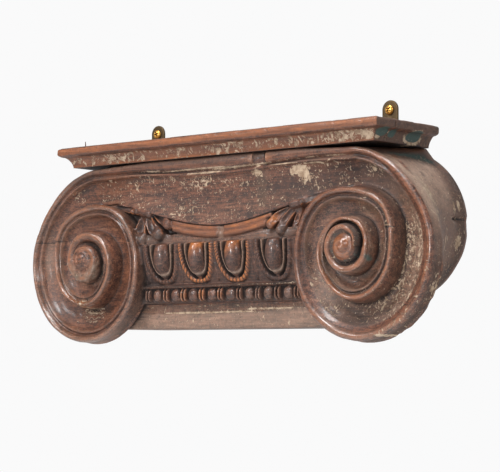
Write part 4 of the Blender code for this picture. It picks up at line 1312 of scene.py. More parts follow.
# painted highlight on the crests of the outer turns below the eyes
pale = np.maximum(pale, 0.45 * crest * (ring < 1) * ramp(-(H - EYE_Z), 0.040, 0.075))
low_cove = rc * blob(X, H, 0.1560, 0.0200, 0.052, 0.016, 3)
gloss = gloss * (1 - low_cove)
dark = np.maximum(dark, low_cove * (0.62 + 0.45 * quick_n))
grey = np.maximum(grey, 0.6 * low_cove)
dark = np.maximum(dark, rc * 0.80 * blob(X, H, 0.1640, 0.0150, 0.046, 0.012, 3))
cream = cream * (1 - rc * 0.35 * blob(X, H, 0.1640, 0.0150, 0.046, 0.012, 3))
dark = np.maximum(dark, rc * 0.66 * ramp(H, 0.126, 0.140))
# painted_wall_shade: painted shade on the lower part of the ring walls of the right volute, which face away from the
# light
high_of = (Q - (rim_crest(np.clip(ring, 0, TURNS)) - 0.0134)) / 0.0150
upper = (1 - ramp(U, 0.16, 0.24)) + ramp(U, 0.84, 0.92)
painted_wall_shade = face * right * (ring >= 0) * (ring < 1.25) * ramp(share, 0.80, 0.90) \
    * (1 - ramp(high_of, 0.25 + 0.35 * upper, 0.75 + 0.35 * upper))
dark = np.maximum(dark, 0.85 * painted_wall_shade)
warm = warm * (1 - 0.9 * painted_wall_shade)
# painted shade on the channel floor beside the foot of the next ring's wall
dark = np.maximum(dark, rc * 0.40 * ramp(share, 0.78, 0.95))
rin = face * right * (ring >= 1.0)
grey = np.maximum(grey, rin * (0.62 + 0.3 * slow) * (1 - crest))
cream = np.maximum(cream, rin * 0.26)
gap = rin * (ring > 1.95) * ramp(share, 0.45, 0.65) + face * right * (ring > 1.6) * (ring <= 1.95) * ramp(share, 0.80, 0.92)
green = np.maximum(green, (0.36 + 0.3 * quick_n) * gap)
dark = np.maximum(dark, 0.72 * gap)
cream = np.maximum(cream, rin * 0.52 * blob(X, H, 0.1200, 0.0640, 0.008, 0.016))
green = np.maximum(green, rin * 0.75 * blob(X, H, 0.1915, 0.0742, 0.0030, 0.006))
green = np.maximum(green, rc * 0.75 * blob(X, H, 0.1380, 0.0170, 0.006, 0.004))
green = np.maximum(green, rc * 0.65 * blob(X, H, 0.1210, 0.0260, 0.003, 0.005))
# left volute
lc = in_channel * left
gloss = np.maximum(gloss, 0.45 * face * crest * (ring >= 0))
wear = np.maximum(wear, 0.40 * face * crest * (ring >= 1.0))
# grey on the inner turns is a painted bluish sheen, and pale on the crests is a painted highlight
grey = np.maximum(grey, 0.50 * face * (ring >= 0.95) * (0.8 + 0.5 * slow))
pale = np.maximum(pale, 0.24 * crest * face * (ring < 1.0) * left)
pale = np.maximum(pale, 0.26 * crest * face * (ring >= 1.0))
# grey on the left side of the left outer channel is a painted soft sheen
grey = np.maximum(grey, lc * (ring < 1) * 0.55 * blob(X, H, -0.238, 0.088, 0.010, 0.040))
gloss = np.maximum(gloss, lc * 0.5)
hot = blob(X, H, -0.2235, 0.0262, 0.011, 0.010, 2.5)
gloss = np.where(lc > 0.5, gloss * (0.15 + 0.75 * hot) * (1 - 0.8 * (ring > 1.1)) + 0.5 * hot, gloss)
rough_spot = lc * (1 - hot) * ramp(-(H - EYE_Z), 0.030, 0.045)
grey = grey * (1 - 0.6 * lc)
lx, lh = X + EYE_X, H - EYE_Z
eye_dirt = left * face * np.exp(-((R - 0.0200) / 0.0080) ** 2) * ramp(-lh, -0.010, 0.010)
grey = np.maximum(grey, 1.0 * eye_dirt)
pale = np.maximum(pale, 0.5 * eye_dirt * ramp(quick_n, 0.0, 0.4))
green = np.maximum(green, 0.50 * eye_dirt)
cream = np.maximum(cream, 0.24 * eye_dirt)
gloss = gloss * (1 - 0.7 * eye_dirt)
marks = left * face * np.exp(-np.abs((lx + 0.0075) / 0.021) ** 3) * np.exp(-np.abs((lh + 0.0560) / 0.0095) ** 3)
curl = np.sin(H * 1500 + 3.2 * fbm(flat(X, H), 75, 2, 57) + 1.5 * np.sin(X * 190))
cream = np.maximum(cream, 1.0 * marks * ramp(curl, 0.35, 0.85))
dark = np.maximum(dark, 0.35 * marks * ramp(-curl, 0.2, 0.8))
worn = left * face * np.exp(-((lx + 0.010) / 0.021) ** 2) * np.exp(-((lh + 0.046) / 0.009) ** 2)
warm = np.maximum(warm, worn * (0.70 + 0.8 * quick_n))
cream = np.maximum(cream, 0.80 * worn * ramp(quick_n, 0.05, 0.4))
dark = np.maximum(dark, 0.5 * worn * ramp(-quick_n, 0.0, 0.4))
joint = left * face * np.exp(-((H - 0.1048) / 0.00065) ** 2) * ramp(-X, 0.196, 0.204)
dark = np.maximum(dark, 0.9 * joint)
# painted shadow of the abacus over the top of the left volute
dark = np.maximum(dark, 0.62 * (Q > 0.060) * blob(X, H, -0.1870, 0.1729, 0.026, 0.012, 3))
dark = np.maximum(dark, in_field * 0.30 * blob(X, H, 0.1180, 0.1500, 0.030, 0.016, 3))
warm = np.maximum(warm, in_field * 0.26)
# painted shadow of the abacus on the top roll in the middle
dark = np.maximum(dark, 0.42 * (H > 0.1752) * (A < 0.150) * blob(X, H, -0.0050, 0.1780, 0.060, 0.006, 4) * (Q > 0.06))
knob = right * (Q > 0.060) * (1 - ramp(R, 0.0115, 0.0135))
warm = np.maximum(warm, 0.85 * knob * ramp(quick_n, -0.3, 0.3))
gloss = np.maximum(gloss, 0.8 * knob)
wear = np.maximum(wear, 0.35 * knob)
dark = np.maximum(dark, 0.38 * face * right * blob(X, H, 0.1070, 0.0700, 0.008, 0.030, 3))
dark = np.maximum(dark, 0.46 * lc0 * blob(X, H, -0.2160, 0.0260, 0.020, 0.012, 3))
dark = np.maximum(dark, 0.30 * in_field * blob(X, H, 0.1000, 0.1480, 0.030, 0.014, 3))
grey = np.maximum(grey, 0.40 * flank * right * ramp(H, 0.140, 0.160))
warm = np.maximum(warm, 0.50 * face * (ring < 0) * blob(X, H, -0.1350, 0.1640, 0.035, 0.014, 3))
warm = np.maximum(warm, 0.40 * face * (ring < 0) * blob(X, H, 0.1250, 0.1660, 0.035, 0.014, 3))
# flanks
inner_side = np.maximum(flank, side_zone) * left * (X > -0.135) * (H < 0.125)
fr = flank * right
flank = np.maximum(flank, side_zone)
fr = flank * right
warm = warm * (1 - 0.9 * flank)
wear = wear * (1 - 0.8 * side_zone)
grey = np.maximum(grey, flank * 0.75)
# paler where the right flank faces up: painted light on its top, over a paler worn finish
pale = np.maximum(pale, fr * 1.0 * ramp(N[:, 2], 0.0, 0.55) * ramp(Q, 0.010, 0.030) * (0.75 + 0.6 * slow))
gloss = gloss * (1 - 0.75 * flank)
dark = np.maximum(dark, 0.42 * inner_side)
cream = np.maximum(cream, fr * (0.26 + 0.42 * blob(Q, H, 0.0620, 0.128, 0.009, 0.020) + 0.10 * slow))
cream = np.maximum(cream, fr * 0.62 * blob(Q, H, 0.0200, 0.1231, 0.0030, 0.008))
cream = np.maximum(cream, fr * 0.70 * blob(Q, H, 0.0160, 0.0900, 0.0060, 0.008))
cream = np.maximum(cream, fr * (Q < 0.0830) * 0.66 * blob(Q, H, 0.0730, 0.0490, 0.0070, 0.0130, 3))
cream = np.maximum(cream, fr * 0.55 * blob(Q, H, 0.0730, 0.0250, 0.0060, 0.0050))
cream = np.maximum(cream, right * (Q > 0.055) * 0.44 * blob(U, R, 0.36, 0.083, 0.14, 0.006) * ramp(R, 0.070, 0.080) * (1 - rc))
dark = np.maximum(dark, fr * (0.62 * (1 - ramp(Q, 0.004, 0.030)) + 0.25 * (1 - ramp(H, 0.03, 0.10))))
dark = np.maximum(dark, fr * ramp(Q, 0.040, 0.052) * (1 - ramp(H, 0.055, 0.085)) * (0.66 + 0.4 * slow))
seam = fr * np.exp(-((Q - 0.0505 - 0.10 * (H - 0.150)) / 0.0007) ** 2) * ramp(H, 0.128, 0.136)
dark = np.maximum(dark, 0.85 * seam)
# wedge under the abacus on the right flank: green remains of paint, darkened as painted shadow of the abacus
wedge = fr * ramp(H + 0.12 * (0.030 - Q), 0.1590, 0.1690) * (1 - ramp(Q, 0.050, 0.064))
pale = pale * (1 - wedge)
green = np.maximum(green, 0.75 * wedge)
dark = np.maximum(dark, 0.75 * wedge)
check = right * np.exp(-((H - 0.1112) / 0.0012) ** 2) * (1 - ramp(Q, 0.020, 0.030)) * flank
dark = np.maximum(dark, check)
# painted highlight on the outer shoulder of the right volute's roll, top right
painted_edge_highlight = right * (Q > 0.066) * (R > 0.080) * (U < 0.14) * ramp(wide, 0.3, 1.2)
pale = np.maximum(pale, 0.55 * painted_edge_highlight)
put(body.data, rope=rope, tick=tick, wear=wear, dirt=dirt, warm=warm, grey=grey, cream=cream, green=green, dark=dark,
    gloss=gloss, pale=pale)
for ob, seed in ((front_board, 5), (back_board, 6)):
    P, N, E, near, tight, wide = surface(ob)
    X, Q, H = P[:, 0], -P[:, 1], P[:, 2] - BASE
    down = ABACUS_TOP - H
    A = np.abs(X)
    wear = ramp(tight, 0.05, 0.35) * 0.55 + ramp(wide, 0.25, 1.2) * 0.30
    # dirt on the boards: painted shade in their hollows from openness and along the lower edge, with grime
    dirt = (1 - ramp(near, 0.30, 0.88)) * 0.7 + ramp(down, 0.0198, 0.0202) * 0.4
    front = ramp(-N[:, 1], 0.15, 0.5)
    fillet = ramp(down, 0.0002, 0.0015) * (1 - ramp(down, 0.0066, 0.0088)) * front
    cove = ramp(down, 0.0085, 0.0098) * front
    rend = ramp(N[:, 0], 0.3, 0.7)
    lend = ramp(-N[:, 0], 0.3, 0.7)
    wear *= 1 - 0.92 * rend
    lower_lip = np.exp(-((down - 0.0190) / 0.0010) ** 2) * front
    warm = fillet * 0.80 + cove * 0.60 + 0.30 * lower_lip
    grey = np.maximum(0.75 * rend, 0.35 * lend) + 0.35 * (N[:, 2] > 0.7)
    pale = 0.30 * fillet * ramp(X, 0.10, 0.20)
    cream = cove * (0.44 + 0.05 * ramp(X, -0.02, 0.06) + 0.06 * ramp(X, 0.07, 0.12)
                    + 0.11 * np.sin(X * 61) * np.sin(X * 23 + 1))
    cream = cream * (1 - 0.35 * ramp(down, 0.0175, 0.0190))
    cream = np.maximum(cream, 0.05)
    cream = np.maximum(cream, lend * 0.45 * ramp(down, 0.012, 0.015))
    green = 0 * X
    seam_line = np.exp(-((Q - ABACUS_SEAM) / 0.0012) ** 2) * rend
    dark = 0.42 * rend + 0.5 * seam_line + 0.13 * fillet + 0.16 * cove
    gloss = 0.25 * front + 0.05
    put(ob.data, rope=0 * wear, tick=0 * wear, wear=wear, dirt=dirt, warm=warm, grey=grey, cream=cream, green=green, dark=dark,
        gloss=gloss, pale=pale)
print("masks", round(time.perf_counter() - t0, 1))
for ob in [body, front_board, back_board, nail] + list(plates.values()) + list(screws.values()):
    ob.data.shade_smooth()
for ob in (body, front_board, back_board):      # the sawn back is flat
    n = len(ob.data.polygons)
    way, mid_of = np.empty(n * 3), np.empty(n * 3)
    ob.data.polygons.foreach_get("normal", way)
    ob.data.polygons.foreach_get("center", mid_of)
    flat_back = (way[1::3] > 0.97) & (mid_of[1::3] > -0.0010)
    ob.data.polygons.foreach_set("use_smooth", ~flat_back)


# ---------------------------------------------------------------- materials
def srgb(r, g, b):
    def lin(c):
        c /= 255.0
        return c / 12.92 if c <= 0.04045 else ((c + 0.055) / 1.055) ** 2.4
    return (lin(r), lin(g), lin(b), 1.0)


class Val:
    """A socket, or a number, that can be used in ordinary arithmetic."""

    def __init__(self, tree, out):
        self.tree, self.out = tree, out

    def _do(self, op, *args, clamp=False):
        n = self.tree.nodes.new("ShaderNodeMath")
        n.operation = op
        n.use_clamp = clamp
        for i, a in enumerate(args):
            if isinstance(a, Val):
                self.tree.links.new(a.out, n.inputs[i])
            else:
                n.inputs[i].default_value = float(a)
        return Val(self.tree, n.outputs[0])

    def __add__(self, o): return self._do("ADD", self, o)
    __radd__ = __add__
    def __sub__(self, o): return self._do("SUBTRACT", self, o)
    def __rsub__(self, o): return self._do("SUBTRACT", o, self)
    def __mul__(self, o): return self._do("MULTIPLY", self, o)
    __rmul__ = __mul__
    def __truediv__(self, o): return self._do("DIVIDE", self, o)
    def __abs__(self): return self._do("ABSOLUTE", self)
    def pow(self, o): return self._do("POWER", self, o)
    def min(self, o): return self._do("MINIMUM", self, o)
    def max(self, o): return self._do("MAXIMUM", self, o)
    def clip(self): return self._do("ADD", self, 0.0, clamp=True)

    def ramp(self, low, high):
        n = self.tree.nodes.new("ShaderNodeMapRange")
        n.interpolation_type = "SMOOTHSTEP"
        self.tree.links.new(self.out, n.inputs["Value"])
        for key, v in (("From Min", low), ("From Max", high)):
            if isinstance(v, Val):
                self.tree.links.new(v.out, n.inputs[key])
            else:
                n.inputs[key].default_value = v
        return Val(self.tree, n.outputs["Result"])


class Looks:
    def __init__(self, name):
        self.mat = bpy.data.materials.new(name)
        self.mat.use_nodes = True
        self.t = self.mat.node_tree
        self.t.nodes.clear()
        self.end = self.t.nodes.new("ShaderNodeOutputMaterial")
        self.bsdf = self.t.nodes.new("ShaderNodeBsdfPrincipled")
        self.t.links.new(self.bsdf.outputs[0], self.end.inputs[0])
        self.co = self.t.nodes.new("ShaderNodeTexCoord")
        sep = self.t.nodes.new("ShaderNodeSeparateXYZ")
        self.t.links.new(self.co.outputs["Object"], sep.inputs[0])
        self.x, self.y, self.z = (Val(self.t, o) for o in sep.outputs)

    def attr(self, name):
        n = self.t.nodes.new("ShaderNodeAttribute")
        n.attribute_type = "GEOMETRY"
        n.attribute_name = name
        return Val(self.t, n.outputs["Fac"])

    def noise(self, scale, detail=3.0, rough=0.55, distort=0.0, at=(0, 0, 0), kind="noise"):
        m = self.t.nodes.new("ShaderNodeMapping")
        m.inputs["Scale"].default_value = scale if isinstance(scale, tuple) else (scale,) * 3
        m.inputs["Location"].default_value = at
        self.t.links.new(self.co.outputs["Object"], m.inputs["Vector"])
        if kind == "noise":
            n = self.t.nodes.new("ShaderNodeTexNoise")
            n.inputs["Scale"].default_value = 1.0
            n.inputs["Detail"].default_value = detail
            n.inputs["Roughness"].default_value = rough
            n.inputs["Distortion"].default_value = distort
            self.t.links.new(m.outputs[0], n.inputs["Vector"])
            return Val(self.t, n.outputs["Fac"])
        n = self.t.nodes.new("ShaderNodeTexVoronoi")
        n.feature = "DISTANCE_TO_EDGE" if kind == "edge" else "F1"
        n.inputs["Scale"].default_value = 1.0
        self.t.links.new(m.outputs[0], n.inputs["Vector"])
        return Val(self.t, n.outputs["Distance"])

    def mix(self, base, colour, fac, blend="MIX"):
        n = self.t.nodes.new("ShaderNodeMix")
        n.data_type = "RGBA"
        n.blend_type = blend
        if isinstance(fac, Val):
            self.t.links.new(fac.out, n.inputs[0])
        else:
            n.inputs[0].default_value = fac
        for i, c in ((6, base), (7, colour)):
            if isinstance(c, tuple):
                n.inputs[i].default_value = c
            else:
                self.t.links.new(c, n.inputs[i])
        return n.outputs[2]

    def bump(self, *heights):
        prev = None
        for value, distance, strength in heights:
            n = self.t.nodes.new("ShaderNodeBump")
            n.inputs["Distance"].default_value = distance
            n.inputs["Strength"].default_value = strength
            self.t.links.new(value.out, n.inputs["Height"])
            if prev:
                self.t.links.new(prev, n.inputs["Normal"])
            prev = n.outputs[0]
        self.t.links.new(prev, self.bsdf.inputs["Normal"])

    def set(self, **k):
        for name, v in k.items():
            sock = self.bsdf.inputs[name.replace("_", " ")]
            if isinstance(v, Val):
                self.t.links.new(v.out, sock)
            elif isinstance(v, bpy.types.NodeSocket):
                self.t.links.new(v, sock)
            else:
                sock.default_value = v


def wood(name, seed=0.0, flecks=210.0, drawn=()):
    L = Looks(name)
    wear, dirt, warm, grey, pale = (L.attr(k) for k in ("wear", "dirt", "warm", "grey", "pale"))
    cream, green, dark, gloss = (L.attr(k) for k in ("cream", "green", "dark", "gloss"))
    seen = 1.0 - L.y.ramp(-0.0010, -0.0003)      # the flat back is plain
    wear, dirt, warm, grey, pale = (v * seen for v in (wear, dirt, warm, grey, pale))
    cream, green, dark, gloss = (v * seen for v in (cream, green, dark, gloss))
    grey = grey + (1.0 - seen) * 0.45
    dark = dark + (1.0 - seen) * 0.22
    o = (seed, seed * 0.7, seed * 1.3)
    mottle = L.noise(38.0, 4.0, 0.6, 0.4, o)
    patch = L.noise(170.0, 4.0, 0.62, 0.5, (o[0] + 3, o[1], o[2]))
    grain = L.noise((26.0, 330.0, 330.0), 4.0, 0.65, 0.7, (o[0], o[1] + 5, o[2]))
    fine = L.noise((80.0, 1100.0, 1100.0), 3.0, 0.6, 0.3, (o[0], o[1], o[2] + 7))
    grit = L.noise(650.0, 4.0, 0.65, 0.2, (o[0] + 9, o[1], o[2]))
    calm = 1.0 - 0.40 * gloss
    tone = (0.5 + (mottle - 0.5) * 0.6 + (patch - 0.5) * 0.9 + (grain - 0.5) * calm * 1.4
            + (fine - 0.5) * calm * 1.2 + (grit - 0.5) * 1.4)
    c = L.mix(srgb(49, 31, 25), srgb(117, 73, 54), tone.ramp(0.18, 0.84))
    c = L.mix(c, srgb(165, 125, 98), (grain.ramp(0.54, 0.70) * grit.ramp(0.42, 0.60)) * 0.58)
    g = (grey * (0.45 + (patch - 0.5) * 1.6 + (mottle - 0.5) * 1.2 + 0.35)).ramp(0.12, 0.85)
    # grey also carries painted sheen and a painted reflection
    c = L.mix(c, srgb(114, 92, 76), g * 0.60)
    c = L.mix(c, srgb(104, 72, 64), (grey * mottle.ramp(0.46, 0.66)) * 0.40)
    # pale also carries painted highlights on crests, ridges and the top of the right flank
    c = L.mix(c, srgb(172, 146, 128), (pale * (0.30 + grain * 1.1)).clip() * 0.82)
    w = (warm * (0.30 + grain * 0.85 + patch * 0.45)).ramp(0.16, 0.80)
    c = L.mix(c, srgb(134, 78, 45), w * 0.80)
    c = L.mix(c, srgb(66, 38, 28), (warm * grain.ramp(0.48, 0.34)) * 0.50)
    w2 = (warm * (0.35 + grain * 0.65 + patch * 0.35)).ramp(0.66, 0.98)
    c = L.mix(c, srgb(196, 116, 52), w2 * 0.80)
    e = (wear * (0.35 + patch * 0.6 + grit * 0.6)).ramp(0.25, 0.80)
    c = L.mix(c, srgb(136, 88, 60), e * 0.60)
    # pale pinkish painted sheen on the most rubbed edges
    e2 = (wear * (0.25 + grit * 1.0)).ramp(0.58, 0.95)
    c = L.mix(c, srgb(188, 146, 120), e2 * 0.58)
    # grime and painted shade: the hollows are darkened to near black
    d = (dirt * (0.75 + mottle * 0.5)).ramp(0.08, 0.90)
    c = L.mix(c, srgb(30, 21, 19), d * 0.90)
    # dark: real joints, cracks and stains, and painted shade and shadows in places
    c = L.mix(c, srgb(34, 27, 27), dark * 0.80)
    ragged = (patch - 0.5) * 1.1 + (grit - 0.5) * 0.7
    extra = {"cream": None, "green": None, "dark": None}
    sideways = {"x": (0.0 - L.y).ramp(0.060, 0.064), "y": L.x.ramp(0.170, 0.180)}
    for kind, axis, c1, c2, r1, r2, torn in drawn:      # single marks, by place
        along = L.x if axis == "x" else 0.0 - L.y
        d1, d2 = (along - c1) / r1, (L.z - (BASE + c2)) / r2
        m = (1.0 - d1 * d1 - d2 * d2 + ragged * torn).ramp(0.05, 0.30) * sideways[axis]
        if kind == "curl":      # thin wavy strokes inside the mark
            swing = (L.x * 610.0)._do("SINE", L.x * 610.0) * 1.7 + (patch - 0.5) * 17.0
            wave = (L.z * 1750.0 + swing)._do("SINE", L.z * 1750.0 + swing)
            m = m * wave.ramp(0.68, 0.95) * 0.75
            kind = "cream"
        extra[kind] = m if extra[kind] is None else extra[kind].max(m)
    gr = (green * (0.35 + patch * 1.3)).ramp(0.35, 0.80)
    if extra["green"]:
        gr = gr.max(extra["green"])
    if extra["dark"]:
        c = L.mix(c, srgb(28, 22, 21), extra["dark"] * 0.85)
    c = L.mix(c, srgb(52, 78, 74), gr * 0.85)
    # fine pits and paler specks in the old finish
    pits = L.noise(480.0, 2.0, 0.5, 0.6, (o[0] + 41, o[1], o[2]))
    c = L.mix(c, srgb(40, 29, 25), (pits.ramp(0.60, 0.70) * 0.45))
    c = L.mix(c, srgb(150, 128, 112), ((1.0 - pits).ramp(0.64, 0.74) * (0.12 + grey * 0.45)))
    # cross cuts of the rope bands around the eggs
    rope, tick = L.attr("rope"), L.attr("tick")
    teeth = (tick * (64.0 * 2 * math.pi))._do("SINE", tick * (64.0 * 2 * math.pi))
    cuts = ((0.0 - teeth).ramp(0.30, 0.92) * rope)
    c = L.mix(c, srgb(36, 25, 21), cuts * 0.85)
    # remains of a pale ground, in small curled strokes
    f1 = L.noise((flecks, flecks, flecks * 0.79), 2.5, 0.60, 2.0, (o[0] + 21, o[1], o[2]))
    f2 = L.noise((640.0, 640.0, 420.0), 2.0, 0.6, 1.2, (o[0] + 31, o[1], o[2]))
    th = 0.692 - 0.37 * cream
    f = (f1 * 0.72 + f2 * 0.28).ramp(th, th + 0.04)
    if extra["cream"]:
        f = f.max(extra["cream"])
    if extra["green"]:
        f = f * (1.0 - extra["green"])
    c = L.mix(c, L.mix(srgb(138, 114, 92), srgb(186, 164, 140), patch.ramp(0.38, 0.62)), f * 0.90)
    L.set(Base_Color=c)
    rough = (0.53 - 0.24 * gloss + 0.12 * (patch - 0.5) + 0.12 * (grit - 0.5) + 0.14 * g + 0.14 * d
             + 0.25 * f + 0.30 * dark).clip()
    L.set(Roughness=rough, Coat_Weight=((0.04 + 0.58 * gloss) * (1.0 - d) * (1.0 - dark)).clip(), Coat_Roughness=0.13)
    L.bump((grain * 0.6 + fine * 0.4, 0.00045, 0.55), (patch, 0.0008, 0.40),
           (f, 0.00030, 0.8), (1.0 - cuts, 0.0006, 0.9), (grit, 0.00022, 0.45))
    return L


def brass(name, gold, dull, amount, rough):
    L = Looks(name)
    a = L.noise(260.0, 4.0, 0.6)
    b = L.noise(900.0, 3.0, 0.6, 0.0, (4, 0, 0))
    n = L.t.nodes.new("ShaderNodeAttribute")
    n.attribute_type = "GEOMETRY"
    n.attribute_name = "tarnish"
    tarnish = Val(L.t, n.outputs["Fac"])
    t = (amount + a * 0.5 - 0.25 + tarnish * 0.8).clip()
    c = L.mix(gold, dull, t)
    L.set(Base_Color=c, Metallic=0.85, Roughness=(rough + a * 0.2 + 0.15 * t).clip())
    L.bump((b, 0.00012, 0.4), (a, 0.0002, 0.3))
    return L


# kind, facing, place along, height, half sizes, raggedness
BODY_MARKS = (
    ("cream", "x", 0.0518, 0.1674, 0.0030, 0.0013, 0.5), ("cream", "x", 0.0502, 0.1616, 0.0048, 0.0026, 0.6),
    ("dark", "x", 0.0622, 0.1725, 0.0009, 0.0090, 0.2),
    ("cream", "x", -0.0430, 0.0290, 0.0420, 0.0011, 1.5), ("cream", "x", 0.0080, 0.0292, 0.0260, 0.0009, 1.8),
    ("cream", "x", 0.0580, 0.0318, 0.0340, 0.0011, 3.0), ("cream", "x", -0.0300, 0.1692, 0.0500, 0.0007, 1.3),
    ("cream", "x", 0.0830, 0.1672, 0.0190, 0.0007, 1.4), ("cream", "x", -0.0150, 0.1652, 0.0250, 0.0012, 1.9),
    ("cream", "x", 0.1180, 0.1660, 0.0120, 0.0008, 1.8),
    ("curl", "x", -0.1758, 0.0291, 0.0175, 0.0085, 1.0), ("curl", "x", -0.1770, 0.0400, 0.0130, 0.0040, 1.6),
    ("dark", "x", -0.2300, 0.1048, 0.0300, 0.0005, 0.35),
    ("dark", "x", 0.2100, 0.1015, 0.0070, 0.0007, 0.5), ("cream", "x", 0.2090, 0.1034, 0.0060, 0.0007, 1.2),
    ("cream", "x", 0.1000, 0.1612, 0.0095, 0.0040, 1.6), ("cream", "x", 0.1040, 0.1560, 0.0060, 0.0028, 2.0),
    ("cream", "y", 0.0200, 0.1225, 0.0018, 0.0075, 1.4), ("cream", "y", 0.0120, 0.1240, 0.0030, 0.0050, 1.8),
    ("cream", "y", 0.0140, 0.0900, 0.0050, 0.0070, 2.6), ("cream", "y", 0.0400, 0.0870, 0.0010, 0.0090, 1.0),
    ("cream", "y", 0.0640, 0.0600, 0.0018, 0.0026, 2.6),
    ("cream", "x", 0.1985, 0.0050, 0.0075, 0.0012, 3.0),
    ("dark", "y", 0.0120, 0.1112, 0.0120, 0.0010, 0.2))
FRONT_MARKS = (
    ("green", "y", 0.0800, 0.1890, 0.0095, 0.0042, 0.9), ("cream", "y", 0.0830, 0.1845, 0.0040, 0.0020, 1.6))
BACK_MARKS = (
    ("green", "y", 0.0640, 0.1885, 0.0060, 0.0040, 0.8), ("cream", "y", 0.0300, 0.1872, 0.0150, 0.0072, 1.3),
    ("green", "y", 0.0300, 0.1885, 0.0125, 0.0055, 0.5), ("dark", "y", 0.0260, 0.1812, 0.0150, 0.0016, 1.0))
mats = {
    "body": wood("carved_wood_worn_and_painted_light", 0.0, 182.0, BODY_MARKS),
    "front": wood("abacus_front_wood_worn_and_painted_light", 2.7, 104.0, FRONT_MARKS),
    "back": wood("abacus_back_wood_worn_and_painted_light", 6.1, 190.0, BACK_MARKS),
    "plate": brass("plate_brass_dulled", srgb(120, 96, 62), srgb(58, 50, 42), 0.65, 0.34),
    "screw": brass("screw_brass_bright", srgb(222, 168, 84), srgb(92, 66, 40), 0.15, 0.20),
    "pin": brass("pin_steel_rusty", srgb(130, 88, 70), srgb(84, 48, 36), 0.5, 0.5),
}
body.data.materials.clear()
for ob, key in ((body, "body"), (front_board, "front"), (back_board, "back"), (nail, "pin"),
                (plates["left"], "plate"), (plates["right"], "plate"),
                (screws["left"], "screw"), (screws["right"], "screw")):
    ob.data.materials.clear()
    ob.data.materials.append(mats[key].mat)
for d in (plates, screws):
    for ob in d.values():
        p, n, e = coords(ob.data), normals(ob.data), edge_index(ob.data)
        put(ob.data, tarnish=ramp(-bend(p, n, e, 4), 0.0, 0.03))
put(nail.data, tarnish=ramp(coords(nail.data)[:, 2] - BASE, ABACUS_TOP, ABACUS_TOP + 0.002) * 0.5)

# ---------------------------------------------------------------- attach to the root body and hide the CAD parts replaced
for ob, nodes, slot in ((body, ("capital_body",), "carved_wood"),
                        (front_board, ("abacus_front_board",), "abacus_front_wood"),
                        (back_board, ("abacus_back_board",), "abacus_back_wood"),
                        (plates["left"], ("hanger_plate_left",), "plate_brass"),
                        (plates["right"], ("hanger_plate_right",), "plate_brass"),
                        (screws["left"], ("hanger_screw_left",), "screw_brass"),
                        (screws["right"], ("hanger_screw_right",), "screw_brass"),
                        (nail, ("abacus_pin",), "pin_steel")):
    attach(ob, "root")
    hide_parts(*nodes)
for ob in list(work.objects):
    if ob not in (body, front_board, back_board, nail, *plates.values(), *screws.values()):
        bpy.data.objects.remove(ob)

# ------------------------------------------------------------------ studio
me = bpy.data.meshes.new("studio_floor")
bm = bmesh.new()
bmesh.ops.create_circle(bm, cap_ends=True, segments=96, radius=2.4)
bm.to_mesh(me)
bm.free()
floor = bpy.data.objects.new("studio_floor", me)
floor.location = (0, 0, -0.45)
work.objects.link(floor)
L = Looks("studio_floor_pale")
n1 = L.noise(3.0, 3.0)
L.set(Base_Color=L.mix((0.80, 0.80, 0.79, 1), (0.84, 0.84, 0.83, 1), n1), Roughness=0.8)
L.bump((L.noise(60.0, 3.0), 0.001, 0.1))
me.materials.append(L.mat)

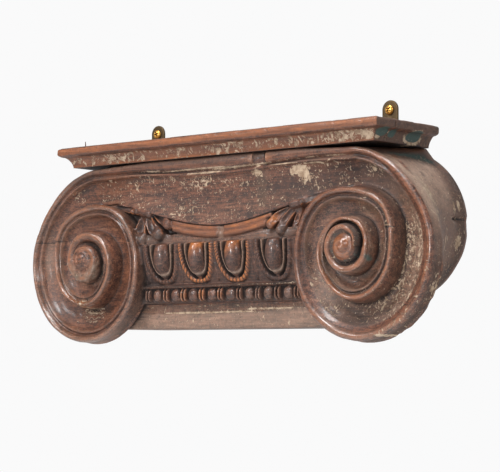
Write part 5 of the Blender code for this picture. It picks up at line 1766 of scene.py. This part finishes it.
world = bpy.data.worlds.new("studio")
scene.world = world
world.use_nodes = True
t = world.node_tree
t.nodes.clear()
out = t.nodes.new("ShaderNodeOutputWorld")
bg = t.nodes.new("ShaderNodeBackground")
tc = t.nodes.new("ShaderNodeTexCoord")
sep = t.nodes.new("ShaderNodeSeparateXYZ")
cr = t.nodes.new("ShaderNodeValToRGB")
t.links.new(tc.outputs["Generated"], sep.inputs[0])
mr = t.nodes.new("ShaderNodeMapRange")
mr.inputs["From Min"].default_value = -1
t.links.new(sep.outputs["Z"], mr.inputs["Value"])
t.links.new(mr.outputs[0], cr.inputs[0])
ramp_ = cr.color_ramp
ramp_.elements[0].position = 0.0
ramp_.elements[0].color = (0.62, 0.62, 0.62, 1)
ramp_.elements[1].position = 1.0
ramp_.elements[1].color = (0.24, 0.25, 0.27, 1)
for pos, v in ((0.40, 0.70), (0.445, 0.955), (0.615, 0.955), (0.68, 0.32)):
    el = ramp_.elements.new(pos)
    el.color = (v, v, v * 1.002, 1)
front = t.nodes.new("ShaderNodeMapRange")      # less light from the room in front
front.interpolation_type = "SMOOTHSTEP"
front.inputs["From Min"].default_value = -0.45
front.inputs["From Max"].default_value = 0.55
front.inputs["To Min"].default_value = 0.50
front.inputs["To Max"].default_value = 1.0
t.links.new(sep.outputs["Y"], front.inputs["Value"])
t.links.new(front.outputs[0], bg.inputs[1])
t.links.new(cr.outputs[0], bg.inputs[0])
t.links.new(bg.outputs[0], out.inputs[0])


def soft_light(name, place, size, power, target=(0, -0.08, 0), colour=(1, 1, 1)):
    data = bpy.data.lights.new(name, "AREA")
    data.shape = "SQUARE"
    data.size = size
    data.energy = power
    data.color = colour
    ob = bpy.data.objects.new(name, data)
    ob.location = place
    ob.rotation_euler = (Vector(target) - Vector(place)).to_track_quat("-Z", "Y").to_euler()
    work.objects.link(ob)


soft_light("above_front", (0.00, -1.28, 1.42), 0.42, 24)
soft_light("front_left", (-0.95, -1.75, 1.05), 0.34, 12)
soft_light("front_low", (0.10, -2.40, 0.35), 0.30, 17)
soft_light("right_side", (1.90, -0.90, 0.80), 0.40, 8)
soft_light("overhead", (0.10, -0.30, 1.80), 0.50, 21)

cam = bpy.data.cameras.new("camera")
camera = bpy.data.objects.new("camera", cam)
work.objects.link(camera)
camera.location = (1.14742, -1.39469, -0.11156)
camera.rotation_euler = (math.pi / 2 + math.radians(3.739677), 0, math.radians(40.08176))
cam.sensor_width = 36
cam.lens = 129.741
cam.clip_start = 0.01
scene.camera = camera
scene.view_settings.view_transform = "Standard"
scene.view_settings.look = "None"

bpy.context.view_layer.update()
print("done", round(time.perf_counter() - t0, 1))
